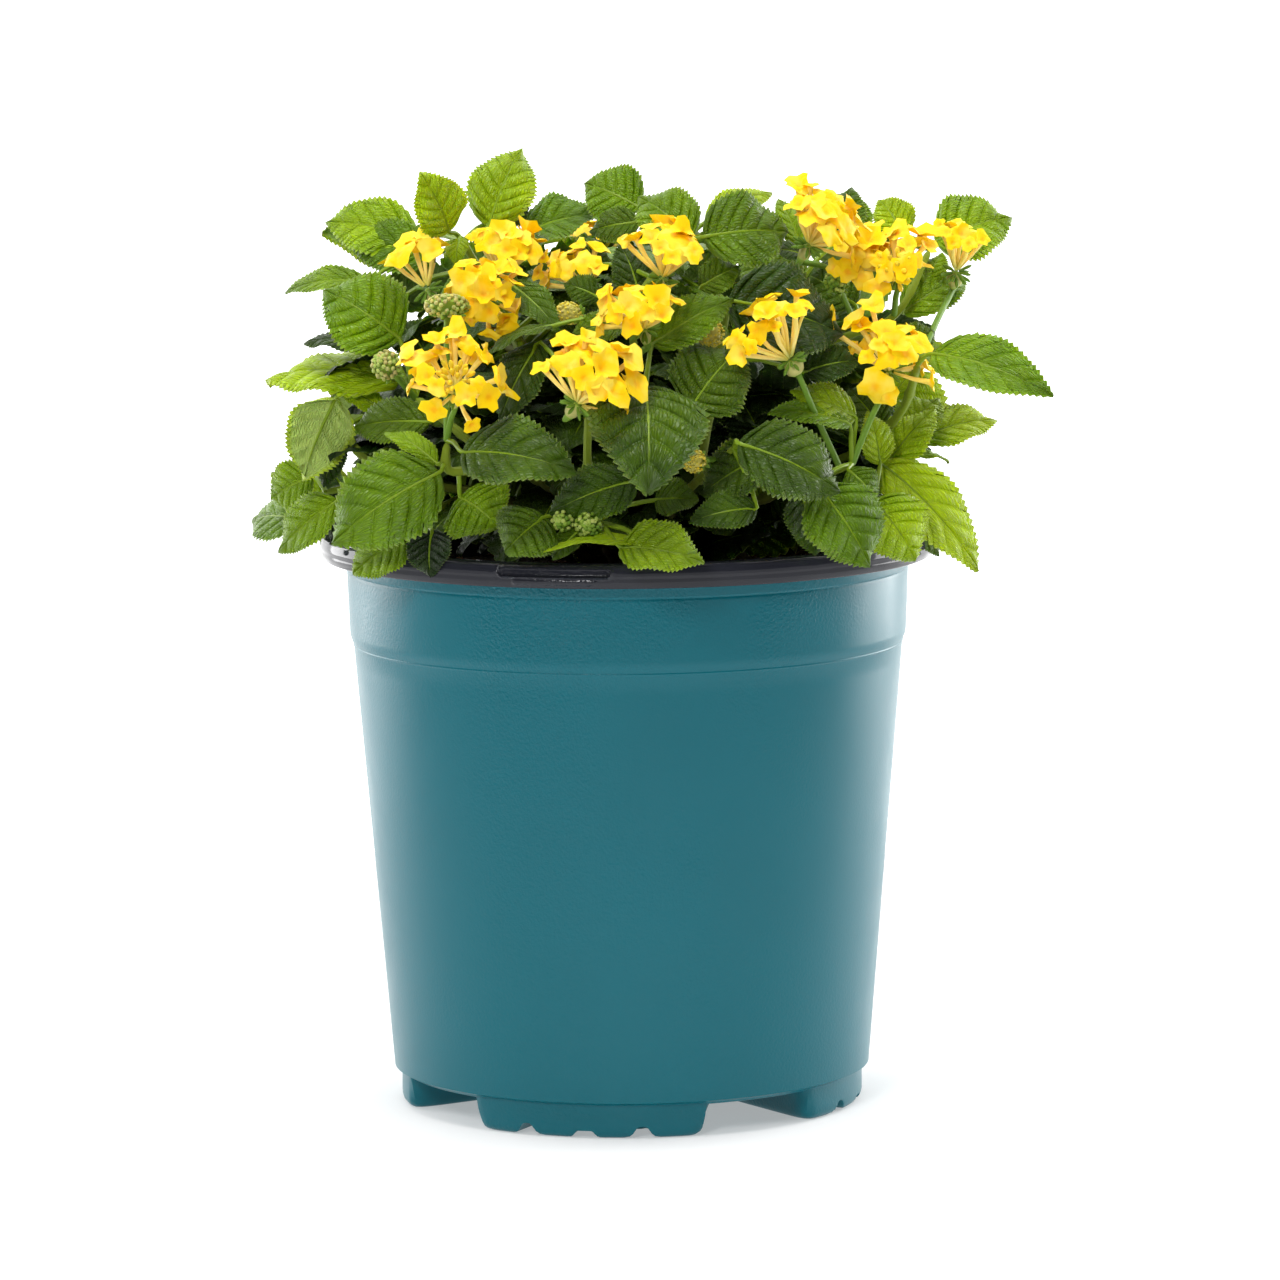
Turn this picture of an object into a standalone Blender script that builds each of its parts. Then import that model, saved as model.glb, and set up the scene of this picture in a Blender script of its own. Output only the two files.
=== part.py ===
"""A potted lantana: pot, soil, woody crown, branches, leaves, flower heads and buds.

Metres, +Z up. The viewer stands on -Y. The origin is on the floor, on the pot's axis.
"""
import math
from typing import NamedTuple

import bmesh
import bpy
from mathutils import Matrix, Vector

MM = 0.001
GAP = 0.3 * MM
MERGE = 0.00005

# Pot, in metres from the floor and from the axis
RIM_RADIUS = 122.5 * MM
RIM_TOP = 228 * MM
RIM_DEPTH = 9.2 * MM
SHOULDER_RADIUS = 111 * MM
SHOULDER_TOP = 213 * MM
STEP_RADIUS = 108.5 * MM
STEP_TOP = 188 * MM
STEP_DROP = 3.5 * MM
BASE_RADIUS = 95 * MM
BASE_TOP = 14.5 * MM
FOOT_RADIUS = 92.4 * MM
WALL = 2 * MM
FLOOR_TOP = BASE_TOP
POT_STEPS = 56

# Feet, the crossed channels between them, and the holes
FEET = 4
FIRST_FOOT = math.radians(-11.5)
CHANNEL_WIDTH = 51 * MM
CHANNEL_DRAFT = 3 * MM
CHANNEL_HEIGHT = 12.5 * MM
FOOT_FLOOR = 6 * MM
NOTCH_PITCH = math.radians(15)
NOTCH_LENGTH = 20 * MM
NOTCH_WIDTH = 6 * MM
NOTCH_HEIGHT = 2.2 * MM
ARCH_HEIGHT = 3.9 * MM
DRAIN_RADIUS = 6 * MM
DRAIN_CIRCLE = 70 * MM

# Soil and crown
SOIL_EDGE = 208 * MM
SOIL_MIDDLE = 210 * MM
CROWN_RADIUS = 8.5 * MM
CROWN_FOOT = 188 * MM
CROWN_TOP = 234 * MM
LOW_TIER = 217 * MM
HIGH_TIER = 226 * MM

# Leaves, stems and flower heads
LEAF_THICKNESS = 0.9 * MM
LEAF_ROWS = 12
LEAF_FOLD = 0.16
LEAF_TIP = 0.6 * MM
PETIOLE_WIDTH = 2.2 * MM
BRANCH_RADIUS = 3.2 * MM
TWIG_RADIUS = 1.7 * MM
STALK_RADIUS = 1.1 * MM
STEPS_PER_SPAN = 3

# Where the plant was looked at from. Pixels are (column, row) in the 1280 x 1280 photograph.
EYE = Vector((0.0047, -2.78, 0.538))
EYE_PITCH = math.radians(7.26)
EYE_ROLL = math.radians(0.5)
EYE_FOCUS = 7032.0
PICTURE_MIDDLE = 640.0


class Leaf(NamedTuple):
    """A leaf by its blade's base and tip pixels, and how near the viewer each lies, in millimetres."""

    base: tuple
    tip: tuple
    near: tuple
    width: float
    roll: float = 25.0
    arch: float = 0.10


class Head(NamedTuple):
    """A flower head by the pixels of its stalk's top and of its bloom's middle, with a radius in mm.

    Its stalk leaves the branch nearest to `hold`, a pixel and its nearness, or else to the stalk's top.
    """

    stalk_top: tuple
    middle: tuple
    near: tuple
    radius: float
    hold: tuple = None


LEAVES = {
    "leaf_left_01": Leaf((405, 258), (322, 240), (-10, -25), 24),
    "leaf_left_03": Leaf((461, 233), (429, 171), (42, 56), 20),
    "leaf_left_05": Leaf((391, 346), (322, 298), (40, 35), 30),
    "leaf_left_07": Leaf((402, 393), (264, 388), (25, 5), 28, roll=60),
    "leaf_left_09": Leaf((338, 430), (291, 482), (45, 50), 30),
    "leaf_left_12": Leaf((305, 512), (249, 517), (-75, -115), 18, roll=60),
    "leaf_left_13": Leaf((338, 500), (277, 558), (40, 30), 20),
    "leaf_left_16": Leaf((440, 472), (330, 545), (95, 100), 34),
    "leaf_left_18": Leaf((408, 538), (352, 575), (85, 85), 22, roll=35),
    "leaf_centre_01": Leaf((462, 452), (578, 472), (105, 125), 28, roll=30),
    "leaf_centre_03": Leaf((545, 517), (504, 553), (112, 122), 26),
    "leaf_centre_05": Leaf((645, 386), (648, 492), (104, 147), 40, roll=10),
    "leaf_centre_06": Leaf((620, 547), (705, 563), (127, 136), 22, roll=35),
    "leaf_centre_09": Leaf((690, 410), (742, 346), (100, 95), 32),
    "leaf_centre_12": Leaf((703, 237), (790, 232), (70, 55), 28),
    "leaf_centre_14": Leaf((690, 235), (636, 192), (60, 45), 22),
    "leaf_centre_17": Leaf((487, 225), (520, 147), (28, 12), 26, roll=20),
    "leaf_centre_19": Leaf((522, 235), (600, 214), (16, 22), 22, roll=40),
    "leaf_right_01": Leaf((728, 300), (845, 335), (85, 75), 36),
    "leaf_right_02": Leaf((738, 443), (842, 493), (115, 112), 28, roll=30),
    "leaf_right_04": Leaf((818, 487), (871, 568), (100, 105), 30),
    "leaf_right_13": Leaf((935, 243), (1014, 222), (-6, -12), 26, roll=30),
    "leaf_right_14": Leaf((903, 313), (967, 277), (20, 0), 18),
    "leaf_right_17": Leaf((930, 362), (1053, 399), (86, 118), 28, roll=30),
    "leaf_right_19": Leaf((912, 446), (998, 422), (20, 5), 20, roll=40),
    "leaf_right_23": Leaf((885, 465), (982, 565), (45, 50), 32, roll=30),
    "leaf_right_25": Leaf((876, 512), (929, 549), (75, 75), 24, roll=30),
    "leaf_back_01": Leaf((560, 370), (470, 400), (-95, -150), 34, roll=110),
    "leaf_back_02": Leaf((708, 372), (790, 400), (-95, -150), 34, roll=110),
}

HEADS = {
    "head_01": Head((430, 296), (412, 262), (45, 50), 12),
    "head_02": Head((505, 282), (507, 244), (44, 44), 13),
    "head_03": Head((484, 300), (482, 292), (74, 90), 13, hold=(515, 330, 34)),
    "head_04": Head((450, 398), (455, 365), (112, 122), 20),
    "head_05": Head((574, 408), (600, 364), (128, 140), 18),
    "head_06": Head((645, 335), (640, 305), (108, 112), 14, hold=(637, 372, 66)),
    "head_07": Head((660, 286), (672, 245), (85, 88), 14),
    "head_08": Head((793, 365), (770, 330), (100, 108), 15, hold=(836, 457, 72)),
    "head_09": Head((810, 247), (828, 215), (62, 66), 15),
    "head_10": Head((845, 275), (853, 250), (28, 30), 10),
    "head_11": Head((896, 280), (893, 258), (45, 58), 14, hold=(896, 316, 28)),
    "head_12": Head((955, 278), (962, 235), (18, 26), 12, hold=(915, 370, 70)),
    "head_13": Head((888, 374), (893, 345), (76, 88), 15, hold=(856, 462, 78)),
    "head_back_01": Head((600, 260), (600, 225), (-60, -72), 14, hold=(640, 410, -72)),
    "head_back_02": Head((760, 330), (775, 300), (-95, -112), 14, hold=(684, 374, -80)),
    "head_back_03": Head((480, 340), (465, 310), (-80, -98), 14),
    "bud_01": Head((397, 375), (386, 362), (56, 62), 5),
    "bud_02": Head((840, 296), (836, 280), (42, 43), 5),
}

# Each branch leaves the crown on a bearing (degrees from the front, positive to the right) and a tier,
# then passes through pixels at so many millimetres in front of the pot's axis. Its side shoots leave it
# at the point that their first entry gives.
BRANCHES = {
    "branch_left_low": (-82, LOW_TIER, [
        [(520, 505, 25), (420, 480, 35), (362, 455, 38), (345, 420, 38)],
        [(420, 480, 35), (370, 484, 32), (326, 492, 28)],
        [(470, 494, 29), (440, 508, 50), (416, 524, 70)],
    ]),
    "branch_left": (-50, HIGH_TIER, [
        [(540, 480, 60), (480, 470, 82), (448, 470, 88), (447, 440, 92)],
        [(510, 474, 72), (450, 425, 55), (415, 398, 42)],
    ]),
    "branch_upper_left": (-112, HIGH_TIER, [
        [(575, 450, 10), (520, 340, 25), (462, 240, 30)],
        [(536, 368, 22), (500, 310, 42)],
    ]),
    "branch_front": (-18, LOW_TIER, [
        [(600, 530, 60), (592, 522, 105)],
        [(597, 527, 80), (588, 470, 95), (588, 415, 98)],
    ]),
    "branch_centre": (10, HIGH_TIER, [
        [(640, 480, 50), (645, 420, 82), (645, 388, 95)],
        [(641, 460, 61), (636, 370, 66), (636, 302, 66), (688, 240, 45)],
    ]),
    "branch_front_right": (40, LOW_TIER, [
        [(680, 500, 60), (735, 447, 95)],
        [(698, 484, 74), (712, 400, 75), (728, 303, 66)],
    ]),
    "branch_right": (68, HIGH_TIER, [
        [(760, 500, 50), (852, 464, 76)],
        [(800, 486, 62), (845, 500, 62), (886, 508, 62)],
    ]),
    "branch_far_right": (96, LOW_TIER, [
        [(800, 475, 15), (905, 440, 22)],
        [(860, 455, 18), (902, 410, 48), (918, 364, 74)],
    ]),
    "branch_upper_right": (128, HIGH_TIER, [
        [(700, 430, -5), (790, 310, 15), (800, 262, 35)],
        [(750, 362, 6), (850, 335, 20), (898, 312, 25), (930, 249, 8)],
    ]),
    "branch_back": (180, LOW_TIER, [
        [(620, 480, -50), (562, 370, -82)],
        [(604, 450, -60), (698, 362, -84)],
        [(612, 462, -56), (480, 478, -84), (330, 505, -72)],
        [(614, 466, -54), (760, 476, -88), (880, 492, -74)],
    ]),
}


def pixel_point(pixel, near):
    """The point that shows at a pixel, `near` millimetres in front of the pot's axis."""
    across = pixel[0] - PICTURE_MIDDLE
    down = pixel[1] - PICTURE_MIDDLE
    right = across * math.cos(EYE_ROLL) - down * math.sin(EYE_ROLL)
    low = across * math.sin(EYE_ROLL) + down * math.cos(EYE_ROLL)
    ray = Vector((
        right,
        EYE_FOCUS * math.cos(EYE_PITCH) - low * math.sin(EYE_PITCH),
        -EYE_FOCUS * math.sin(EYE_PITCH) - low * math.cos(EYE_PITCH),
    ))
    return EYE + ray * ((-near * MM - EYE.y) / ray.y)


def material(name, colour, roughness):
    """A plain Principled material."""
    made = bpy.data.materials.new(name)
    made.use_nodes = True
    shader = made.node_tree.nodes["Principled BSDF"]
    shader.inputs["Base Color"].default_value = (*colour, 1.0)
    shader.inputs["Roughness"].default_value = roughness
    return made


def add_object(name, data, finish, collection):
    """Links new data into a collection under its name, with one finish."""
    made = bpy.data.objects.new(name, data)
    data.materials.append(finish)
    collection.objects.link(made)
    return made


def turned(name, profile, steps, finish, collection):
    """Turns a profile of (radius, height) points round the Z axis."""
    mesh = bpy.data.meshes.new(name)
    bm = bmesh.new()
    ring = [bm.verts.new((radius, 0.0, height)) for radius, height in profile]
    for upper, lower in zip(ring, ring[1:]):
        bm.edges.new((upper, lower))
    bm.to_mesh(mesh)
    bm.free()
    made = add_object(name, mesh, finish, collection)
    screw = made.modifiers.new("turn", "SCREW")
    screw.steps = steps
    screw.render_steps = steps
    screw.use_merge_vertices = True
    screw.merge_threshold = MERGE
    screw.use_smooth_shade = True
    return made


def tube(name, points, radii, sides_level, finish, collection):
    """A tube through points, as thick at each as its radius says, with filled ends."""
    curve = bpy.data.curves.new(name, "CURVE")
    curve.dimensions = "3D"
    curve.bevel_depth = MM
    curve.bevel_resolution = sides_level
    curve.use_fill_caps = True
    curve.resolution_u = 1
    spline = curve.splines.new("POLY")
    spline.points.add(len(points) - 1)
    for slot, point, radius in zip(spline.points, points, radii):
        slot.co = (*point, 1.0)
        slot.radius = radius / MM
    return add_object(name, curve, finish, collection)


def as_mesh(source, finish, collection):
    """Replaces a curve object by a welded mesh object of the same name and place."""
    bpy.context.view_layer.update()
    evaluated = source.evaluated_get(bpy.context.evaluated_depsgraph_get())
    mesh = bpy.data.meshes.new_from_object(evaluated)
    name = source.name
    matrix = source.matrix_world.copy()
    bpy.data.objects.remove(source)
    bm = bmesh.new()
    bm.from_mesh(mesh)
    bmesh.ops.remove_doubles(bm, verts=bm.verts, dist=MERGE)
    bm.to_mesh(mesh)
    bm.free()
    mesh.materials.clear()
    made = add_object(name, mesh, finish, collection)
    made.matrix_world = matrix
    return made


def hide_cutter(cutter):
    """Marks an object as a tool of a Boolean, which isn't part of the model."""
    cutter.hide_render = True
    cutter.display_type = "WIRE"


def boolean(target, tool, operation):
    """Adds an exact Boolean of a tool object."""
    step = target.modifiers.new(operation.lower(), "BOOLEAN")
    step.operation = operation
    step.solver = "EXACT"
    step.object = tool


def channel(name, bearing, grow, collection):
    """A bar through the axis with sloping sides, which clears one channel; `grow` widens and lifts it."""
    bm = bmesh.new()
    bmesh.ops.create_cube(bm, size=1.0)
    for vert in bm.verts:
        top = vert.co.z > 0
        half = CHANNEL_WIDTH / 2 + grow - (CHANNEL_DRAFT if top else 0.0)
        vert.co.x = math.copysign(half, vert.co.x)
        vert.co.y = math.copysign(1.2 * RIM_RADIUS, vert.co.y)
        vert.co.z = CHANNEL_HEIGHT + grow if top else -WALL
    mesh = bpy.data.meshes.new(name)
    bm.to_mesh(mesh)
    bm.free()
    bar = bpy.data.objects.new(name, mesh)
    bar.rotation_euler.z = bearing
    collection.objects.link(bar)
    hide_cutter(bar)
    return bar


def cut_channels(target, name, grow, collection):
    """Cuts the two crossed channels out of a target."""
    for number in range(FEET // 2):
        bearing = FIRST_FOOT + (number + 0.5) * 2 * math.pi / FEET
        boolean(target, channel(f"{name}_{number}", bearing, grow, collection), "DIFFERENCE")


def hole_cutter(collection):
    """The three notches in each foot's outer edge and the drain holes in the channels, as one tool."""
    bm = bmesh.new()
    for foot in range(FEET):
        middle = FIRST_FOOT + foot * 2 * math.pi / FEET
        for place, height in ((-1, NOTCH_HEIGHT), (0, NOTCH_HEIGHT), (1, ARCH_HEIGHT)):
            notch = (
                Matrix.Rotation(middle + place * NOTCH_PITCH, 4, "Z")
                @ Matrix.Translation((0, -FOOT_RADIUS + NOTCH_LENGTH / 2 - WALL, 0))
                @ Matrix.Diagonal((NOTCH_WIDTH, NOTCH_LENGTH + WALL, 2 * height, 1))
            )
            bmesh.ops.create_cube(bm, size=1.0, matrix=notch)
        drain = Matrix.Rotation(middle + math.pi / FEET, 4, "Z") @ Matrix.Translation(
            (0, -DRAIN_CIRCLE, FLOOR_TOP)
        )
        bmesh.ops.create_cone(
            bm, cap_ends=True, segments=16, radius1=DRAIN_RADIUS, radius2=DRAIN_RADIUS,
            depth=4 * WALL, matrix=drain,
        )
    mesh = bpy.data.meshes.new("holes")
    bm.to_mesh(mesh)
    bm.free()
    cutter = bpy.data.objects.new("holes", mesh)
    collection.objects.link(cutter)
    hide_cutter(cutter)
    return cutter


def build_pot(parts, cutters):
    """The pot: a thin turned wall with a flared rim, a small step and four hollow, notched feet."""
    inner_top = SHOULDER_RADIUS - WALL
    inner_base = BASE_RADIUS - WALL
    profile = [
        (0.0, FLOOR_TOP),
        (inner_base - 4 * MM, FLOOR_TOP),
        (inner_base, FLOOR_TOP + 4 * MM),
        (STEP_RADIUS - WALL, STEP_TOP - STEP_DROP),
        (inner_top, STEP_TOP + 2 * MM),
        (inner_top + MM, SHOULDER_TOP),
        (inner_top + 3 * MM, RIM_TOP - 2 * MM),
        (inner_top + 5 * MM, RIM_TOP),
        (RIM_RADIUS - 1.5 * MM, RIM_TOP),
        (RIM_RADIUS, RIM_TOP - 1.5 * MM),
        (RIM_RADIUS - 1.2 * MM, RIM_TOP - RIM_DEPTH),
        (SHOULDER_RADIUS + MM, SHOULDER_TOP),
        (SHOULDER_RADIUS - 0.5 * MM, STEP_TOP),
        (STEP_RADIUS, STEP_TOP - STEP_DROP),
        (BASE_RADIUS, BASE_TOP),
        (FOOT_RADIUS, BASE_TOP),
        (FOOT_RADIUS, 0.0),
        (0.0, 0.0),
    ]
    finish = material("pot plastic", (0.02, 0.14, 0.17), 0.35)
    pocket_radius = FOOT_RADIUS - WALL
    pockets = turned("pockets", [
        (0.0, FLOOR_TOP + WALL),
        (inner_base - 5 * MM, FLOOR_TOP + WALL),
        (pocket_radius, FOOT_FLOOR),
        (0.0, FOOT_FLOOR),
    ], POT_STEPS, finish, cutters)
    cut_channels(pockets, "pocket_wall", WALL, cutters)
    hide_cutter(pockets)
    pot = turned("pot", profile, POT_STEPS, finish, parts)
    boolean(pot, pockets, "DIFFERENCE")
    cut_channels(pot, "channel", 0.0, cutters)
    boolean(pot, hole_cutter(cutters), "DIFFERENCE")


def build_soil(parts, cutters):
    """The potting mix: it fills the pot and its feet up to below the rim, and holds the crown."""
    fit = GAP + WALL
    socket = CROWN_RADIUS + GAP
    profile = [
        (0.0, CROWN_FOOT - GAP),
        (socket, CROWN_FOOT - GAP),
        (socket, SOIL_MIDDLE),
        (60 * MM, SOIL_MIDDLE),
        (SHOULDER_RADIUS - fit - MM, SOIL_EDGE),
        (SHOULDER_RADIUS - fit, SOIL_EDGE - 2 * MM),
        (SHOULDER_RADIUS - fit, STEP_TOP + 2 * MM),
        (STEP_RADIUS - fit, STEP_TOP - STEP_DROP),
        (BASE_RADIUS - fit, FLOOR_TOP + 5 * MM),
        (BASE_RADIUS - fit - 5 * MM, FLOOR_TOP + GAP),
        (FOOT_RADIUS - fit, FOOT_FLOOR + GAP),
        (0.0, FOOT_FLOOR + GAP),
    ]
    finish = material("soil mix", (0.03, 0.016, 0.008), 0.95)
    soil = turned("soil", profile, POT_STEPS, finish, parts)
    cut_channels(soil, "soil_channel", WALL + GAP, cutters)


def build_crown(parts, finish):
    """The woody crown, which stands in the soil's socket."""
    profile = [
        (0.0, CROWN_TOP),
        (CROWN_RADIUS * 0.6, CROWN_TOP - MM),
        (CROWN_RADIUS, CROWN_TOP - 4 * MM),
        (CROWN_RADIUS, CROWN_FOOT + 2 * MM),
        (CROWN_RADIUS - 2 * MM, CROWN_FOOT),
        (0.0, CROWN_FOOT),
    ]
    turned("crown", profile, 24, finish, parts)


def smooth_route(stops):
    """A Catmull-Rom curve through stops, with STEPS_PER_SPAN points a span."""
    ends = [2 * stops[0] - stops[1], *stops, 2 * stops[-1] - stops[-2]]
    route = []
    for a, b, c, d in zip(ends, ends[1:], ends[2:], ends[3:]):
        for step in range(STEPS_PER_SPAN):
            t = step / STEPS_PER_SPAN
            route.append(0.5 * (
                2 * b + (c - a) * t + (2 * a - 5 * b + 4 * c - d) * t ** 2
                + (3 * b - a - 3 * c + d) * t ** 3
            ))
    return [*route, stops[-1]]


def build_branches(parts, cutters, finish):
    """The branches, each joined with its side shoots. Returns their runs of axis, for what they carry."""
    runs = []
    for name, (bearing, tier, shoots) in BRANCHES.items():
        trunk = None
        for number, shoot in enumerate(shoots):
            stops = [pixel_point(stop[:2], stop[2]) for stop in shoot]
            thick = BRANCH_RADIUS if number == 0 else TWIG_RADIUS * 1.2
            if number == 0:
                turn = math.radians(bearing)
                out = Vector((math.sin(turn), -math.cos(turn), 0))
                start = out * (CROWN_RADIUS + 2 * GAP) + Vector((0, 0, tier))
                route = [start] + smooth_route([start + out * 6 * MM] + stops)
            else:
                route = smooth_route(stops)
            last = len(route) - 1
            radii = [thick + (TWIG_RADIUS - thick) * i / last for i in range(last + 1)]
            route.append(route[-1] + (route[-1] - route[-2]).normalized() * TWIG_RADIUS * 0.9)
            radii.append(TWIG_RADIUS * 0.4)
            made = tube(f"{name}_{number}", route, radii, 1, finish, cutters)
            made = as_mesh(made, finish, parts if number == 0 else cutters)
            runs += list(zip(route, route[1:], radii, radii[1:]))
            if number == 0:
                made.name = name
                trunk = made
            else:
                hide_cutter(made)
                boolean(trunk, made, "UNION")
    return runs


def foothold(runs, target, goal):
    """The point just off the bark of the branch nearest to a target, on the side of a goal."""
    best = None
    for a, b, thick_a, thick_b in runs:
        along = b - a
        part = min(max((target - a).dot(along) / along.length_squared, 0.0), 1.0)
        axis = a + along * part
        distance = (target - axis).length
        if best is None or distance < best[0]:
            best = (distance, axis, thick_a + (thick_b - thick_a) * part, along.normalized())
    axis, thick, along = best[1:]
    way = (goal - axis).normalized()
    clear = thick + GAP
    if target != goal:
        slant = way.dot(along)
        way = (way - along * slant).normalized()
        clear += STALK_RADIUS * abs(slant)
    return axis + way * clear


def blade_outline(along):
    """Half the blade's width, as a share of its whole width, from its base at 0 to its tip at 1."""
    return 0.5 * math.sin(math.pi * along ** 0.62) ** 0.9 if 0 < along < 1 else 0.0


def build_leaf(name, leaf, runs, finish, parts):
    """A leaf: a strip for the petiole that widens to an arched, folded blade."""
    base = pixel_point(leaf.base, leaf.near[0])
    tip = pixel_point(leaf.tip, leaf.near[1])
    foot = foothold(runs, base, base)
    axis = (tip - base).normalized()
    to_eye = (EYE - base).normalized()
    face = (to_eye - axis * to_eye.dot(axis)).normalized()
    edge = axis.cross(face)
    if edge.z < 0:
        edge.negate()
    roll = math.radians(leaf.roll)
    up = face * math.cos(roll) + edge * math.sin(roll)
    blade = (tip - base).length
    bend = (base + tip) / 2 + up * blade * leaf.arch * 2
    bm = bmesh.new()
    bmesh.ops.create_grid(bm, x_segments=LEAF_ROWS, y_segments=2, size=0.5)
    for vert in bm.verts:
        row = (vert.co.x + 0.5) * LEAF_ROWS
        side = vert.co.y * 2
        if row <= 2.01:
            middle = foot.lerp(base, row / 2)
            travel = base - foot
            half = PETIOLE_WIDTH / 2
        else:
            t = (row - 2) / (LEAF_ROWS - 2)
            middle = base.lerp(bend, t).lerp(bend.lerp(tip, t), t)
            travel = base.lerp(bend, t) - bend.lerp(tip, t)
            travel.negate()
            half = max(blade_outline(t) * leaf.width * MM, LEAF_TIP)
        across = travel.cross(up).normalized()
        lift = across.cross(travel).normalized()
        vert.co = middle + across * half * side + lift * half * abs(side) * LEAF_FOLD
    bmesh.ops.recalc_face_normals(bm, faces=bm.faces)
    mesh = bpy.data.meshes.new(name)
    bm.to_mesh(mesh)
    bm.free()
    made = add_object(name, mesh, finish, parts)
    shell = made.modifiers.new("thickness", "SOLIDIFY")
    shell.thickness = LEAF_THICKNESS
    shell.offset = 0.0


def build_head(name, head, runs, finish, parts):
    """A flower head on its stalk: a thin stalk, a small receptacle and a domed bloom."""
    neck = pixel_point(head.stalk_top, head.near[0])
    middle = pixel_point(head.middle, head.near[1])
    hold = pixel_point(head.hold[:2], head.hold[2]) if head.hold else neck
    foot = foothold(runs, hold, neck)
    axis = (middle - neck).normalized()
    radius = head.radius * MM
    height = (middle - neck).length
    points = [foot, foot.lerp(neck, 0.5), neck]
    radii = [STALK_RADIUS, STALK_RADIUS, STALK_RADIUS * 1.6]
    for rise, spread in ((0.35, 0.35), (0.75, 0.8), (1.0, 1.0)):
        points.append(neck + axis * height * rise)
        radii.append(radius * spread)
    for rise, spread in ((0.3, 0.85), (0.5, 0.5), (0.58, 0.15)):
        points.append(middle + axis * radius * rise)
        radii.append(radius * spread)
    made = tube(name, points, radii, 2, finish, parts)
    as_mesh(made, finish, parts)


def main():
    """Clears the scene and builds the potted plant."""
    for old in list(bpy.data.objects):
        bpy.data.objects.remove(old)
    parts = bpy.data.collections.new("lantana")
    cutters = bpy.data.collections.new("cutters")
    for group in (parts, cutters):
        bpy.context.scene.collection.children.link(group)
    bark = material("green and brown stem", (0.16, 0.17, 0.05), 0.6)
    green = material("leaf green", (0.06, 0.16, 0.02), 0.5)
    golden = material("golden flower", (0.9, 0.5, 0.02), 0.5)
    build_pot(parts, cutters)
    build_soil(parts, cutters)
    build_crown(parts, bark)
    runs = build_branches(parts, cutters, bark)
    for name, leaf in LEAVES.items():
        build_leaf(name, leaf, runs, green, parts)
    for name, head in HEADS.items():
        build_head(name, head, runs, golden, parts)


main()
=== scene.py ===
"""The finished look of a potted lantana: leaves, flower heads, stems, soil and a two-colour nursery pot.

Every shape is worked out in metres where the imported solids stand. Leaves, heads and branches repeat the
places that the solids were made from: pixels of the 1280 x 1280 photograph, as a column and a row, and how
near each lies, in millimetres in front of the pot's axis.
"""

import math
from typing import NamedTuple

import bpy
import numpy as np
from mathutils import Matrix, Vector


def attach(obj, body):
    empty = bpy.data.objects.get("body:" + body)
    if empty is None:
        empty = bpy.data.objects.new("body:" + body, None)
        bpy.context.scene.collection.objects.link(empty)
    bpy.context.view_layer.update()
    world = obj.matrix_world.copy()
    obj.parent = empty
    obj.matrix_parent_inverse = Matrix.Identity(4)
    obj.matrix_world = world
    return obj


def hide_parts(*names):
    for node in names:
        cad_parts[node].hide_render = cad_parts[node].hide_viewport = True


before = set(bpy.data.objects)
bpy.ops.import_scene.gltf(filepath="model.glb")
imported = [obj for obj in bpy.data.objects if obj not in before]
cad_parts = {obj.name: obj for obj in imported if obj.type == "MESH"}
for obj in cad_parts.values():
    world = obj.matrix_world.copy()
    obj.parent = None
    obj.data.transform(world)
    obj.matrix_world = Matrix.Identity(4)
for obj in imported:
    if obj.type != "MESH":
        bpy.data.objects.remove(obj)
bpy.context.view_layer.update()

MM = 0.001
BODY = "root"
# The angle, in radians, from one seed of a spiral to the next
GOLDEN = 2.39996

# Where the plant was looked at from
EYE = np.array((0.0047, -2.78, 0.538))
EYE_PITCH = math.radians(7.26)
EYE_ROLL = math.radians(0.5)
EYE_FOCUS = 7032.0
PICTURE = 1280
SENSOR = 36.0

# Pot, in metres from the floor and from the axis
RIM_RADIUS = 122.5 * MM
RIM_TOP = 228 * MM
RIM_FOOT = RIM_TOP - 9.2 * MM
SHOULDER_RADIUS = 111 * MM
SHOULDER_TOP = 213 * MM
STEP_RADIUS = 108.5 * MM
STEP_TOP = 188 * MM
STEP_FOOT = STEP_TOP - 3.5 * MM
BASE_RADIUS = 95 * MM
BASE_TOP = 14.5 * MM
FOOT_RADIUS = 92.4 * MM
WALL = 2 * MM

# The moulded oval on the rim
OVAL_BEARING = math.radians(-13.3)
OVAL_PLACE = (RIM_RADIUS * math.sin(OVAL_BEARING), -RIM_RADIUS * math.cos(OVAL_BEARING), RIM_TOP - 4.5 * MM)

# Feet and the crossed channels between them. A notch has a bearing from its foot's middle in degrees, a
# height and a half width in mm, and the power of its bell.
FEET = 4
FIRST_FOOT = math.radians(-11.5)
FOOT_MIDDLE = 60 * MM
CHANNEL_HALF = 25.5 * MM
CHANNEL_DRAFT = 3 * MM
CHANNEL_HEIGHT = 12.5 * MM
NOTCHES = [(-15, 4.8, 3.3, 4), (-0.2, 2.9, 4.3, 8), (14.0, 4.8, 3.3, 4)]

# Soil and crown
SOIL_TOP = 208 * MM
SOIL_GAP = 0.3 * MM
CHIPS = 520
CROWN_RADIUS = 8.5 * MM
CROWN_FOOT = 188 * MM
LOW_TIER = 217
HIGH_TIER = 226

# Stems
BRANCH_RADIUS = 3.2 * MM
TWIG_RADIUS = 1.7 * MM
STEM_THINNER = 0.85
STEM_STEP = 2 * MM
NODE_PITCH = 24 * MM

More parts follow.
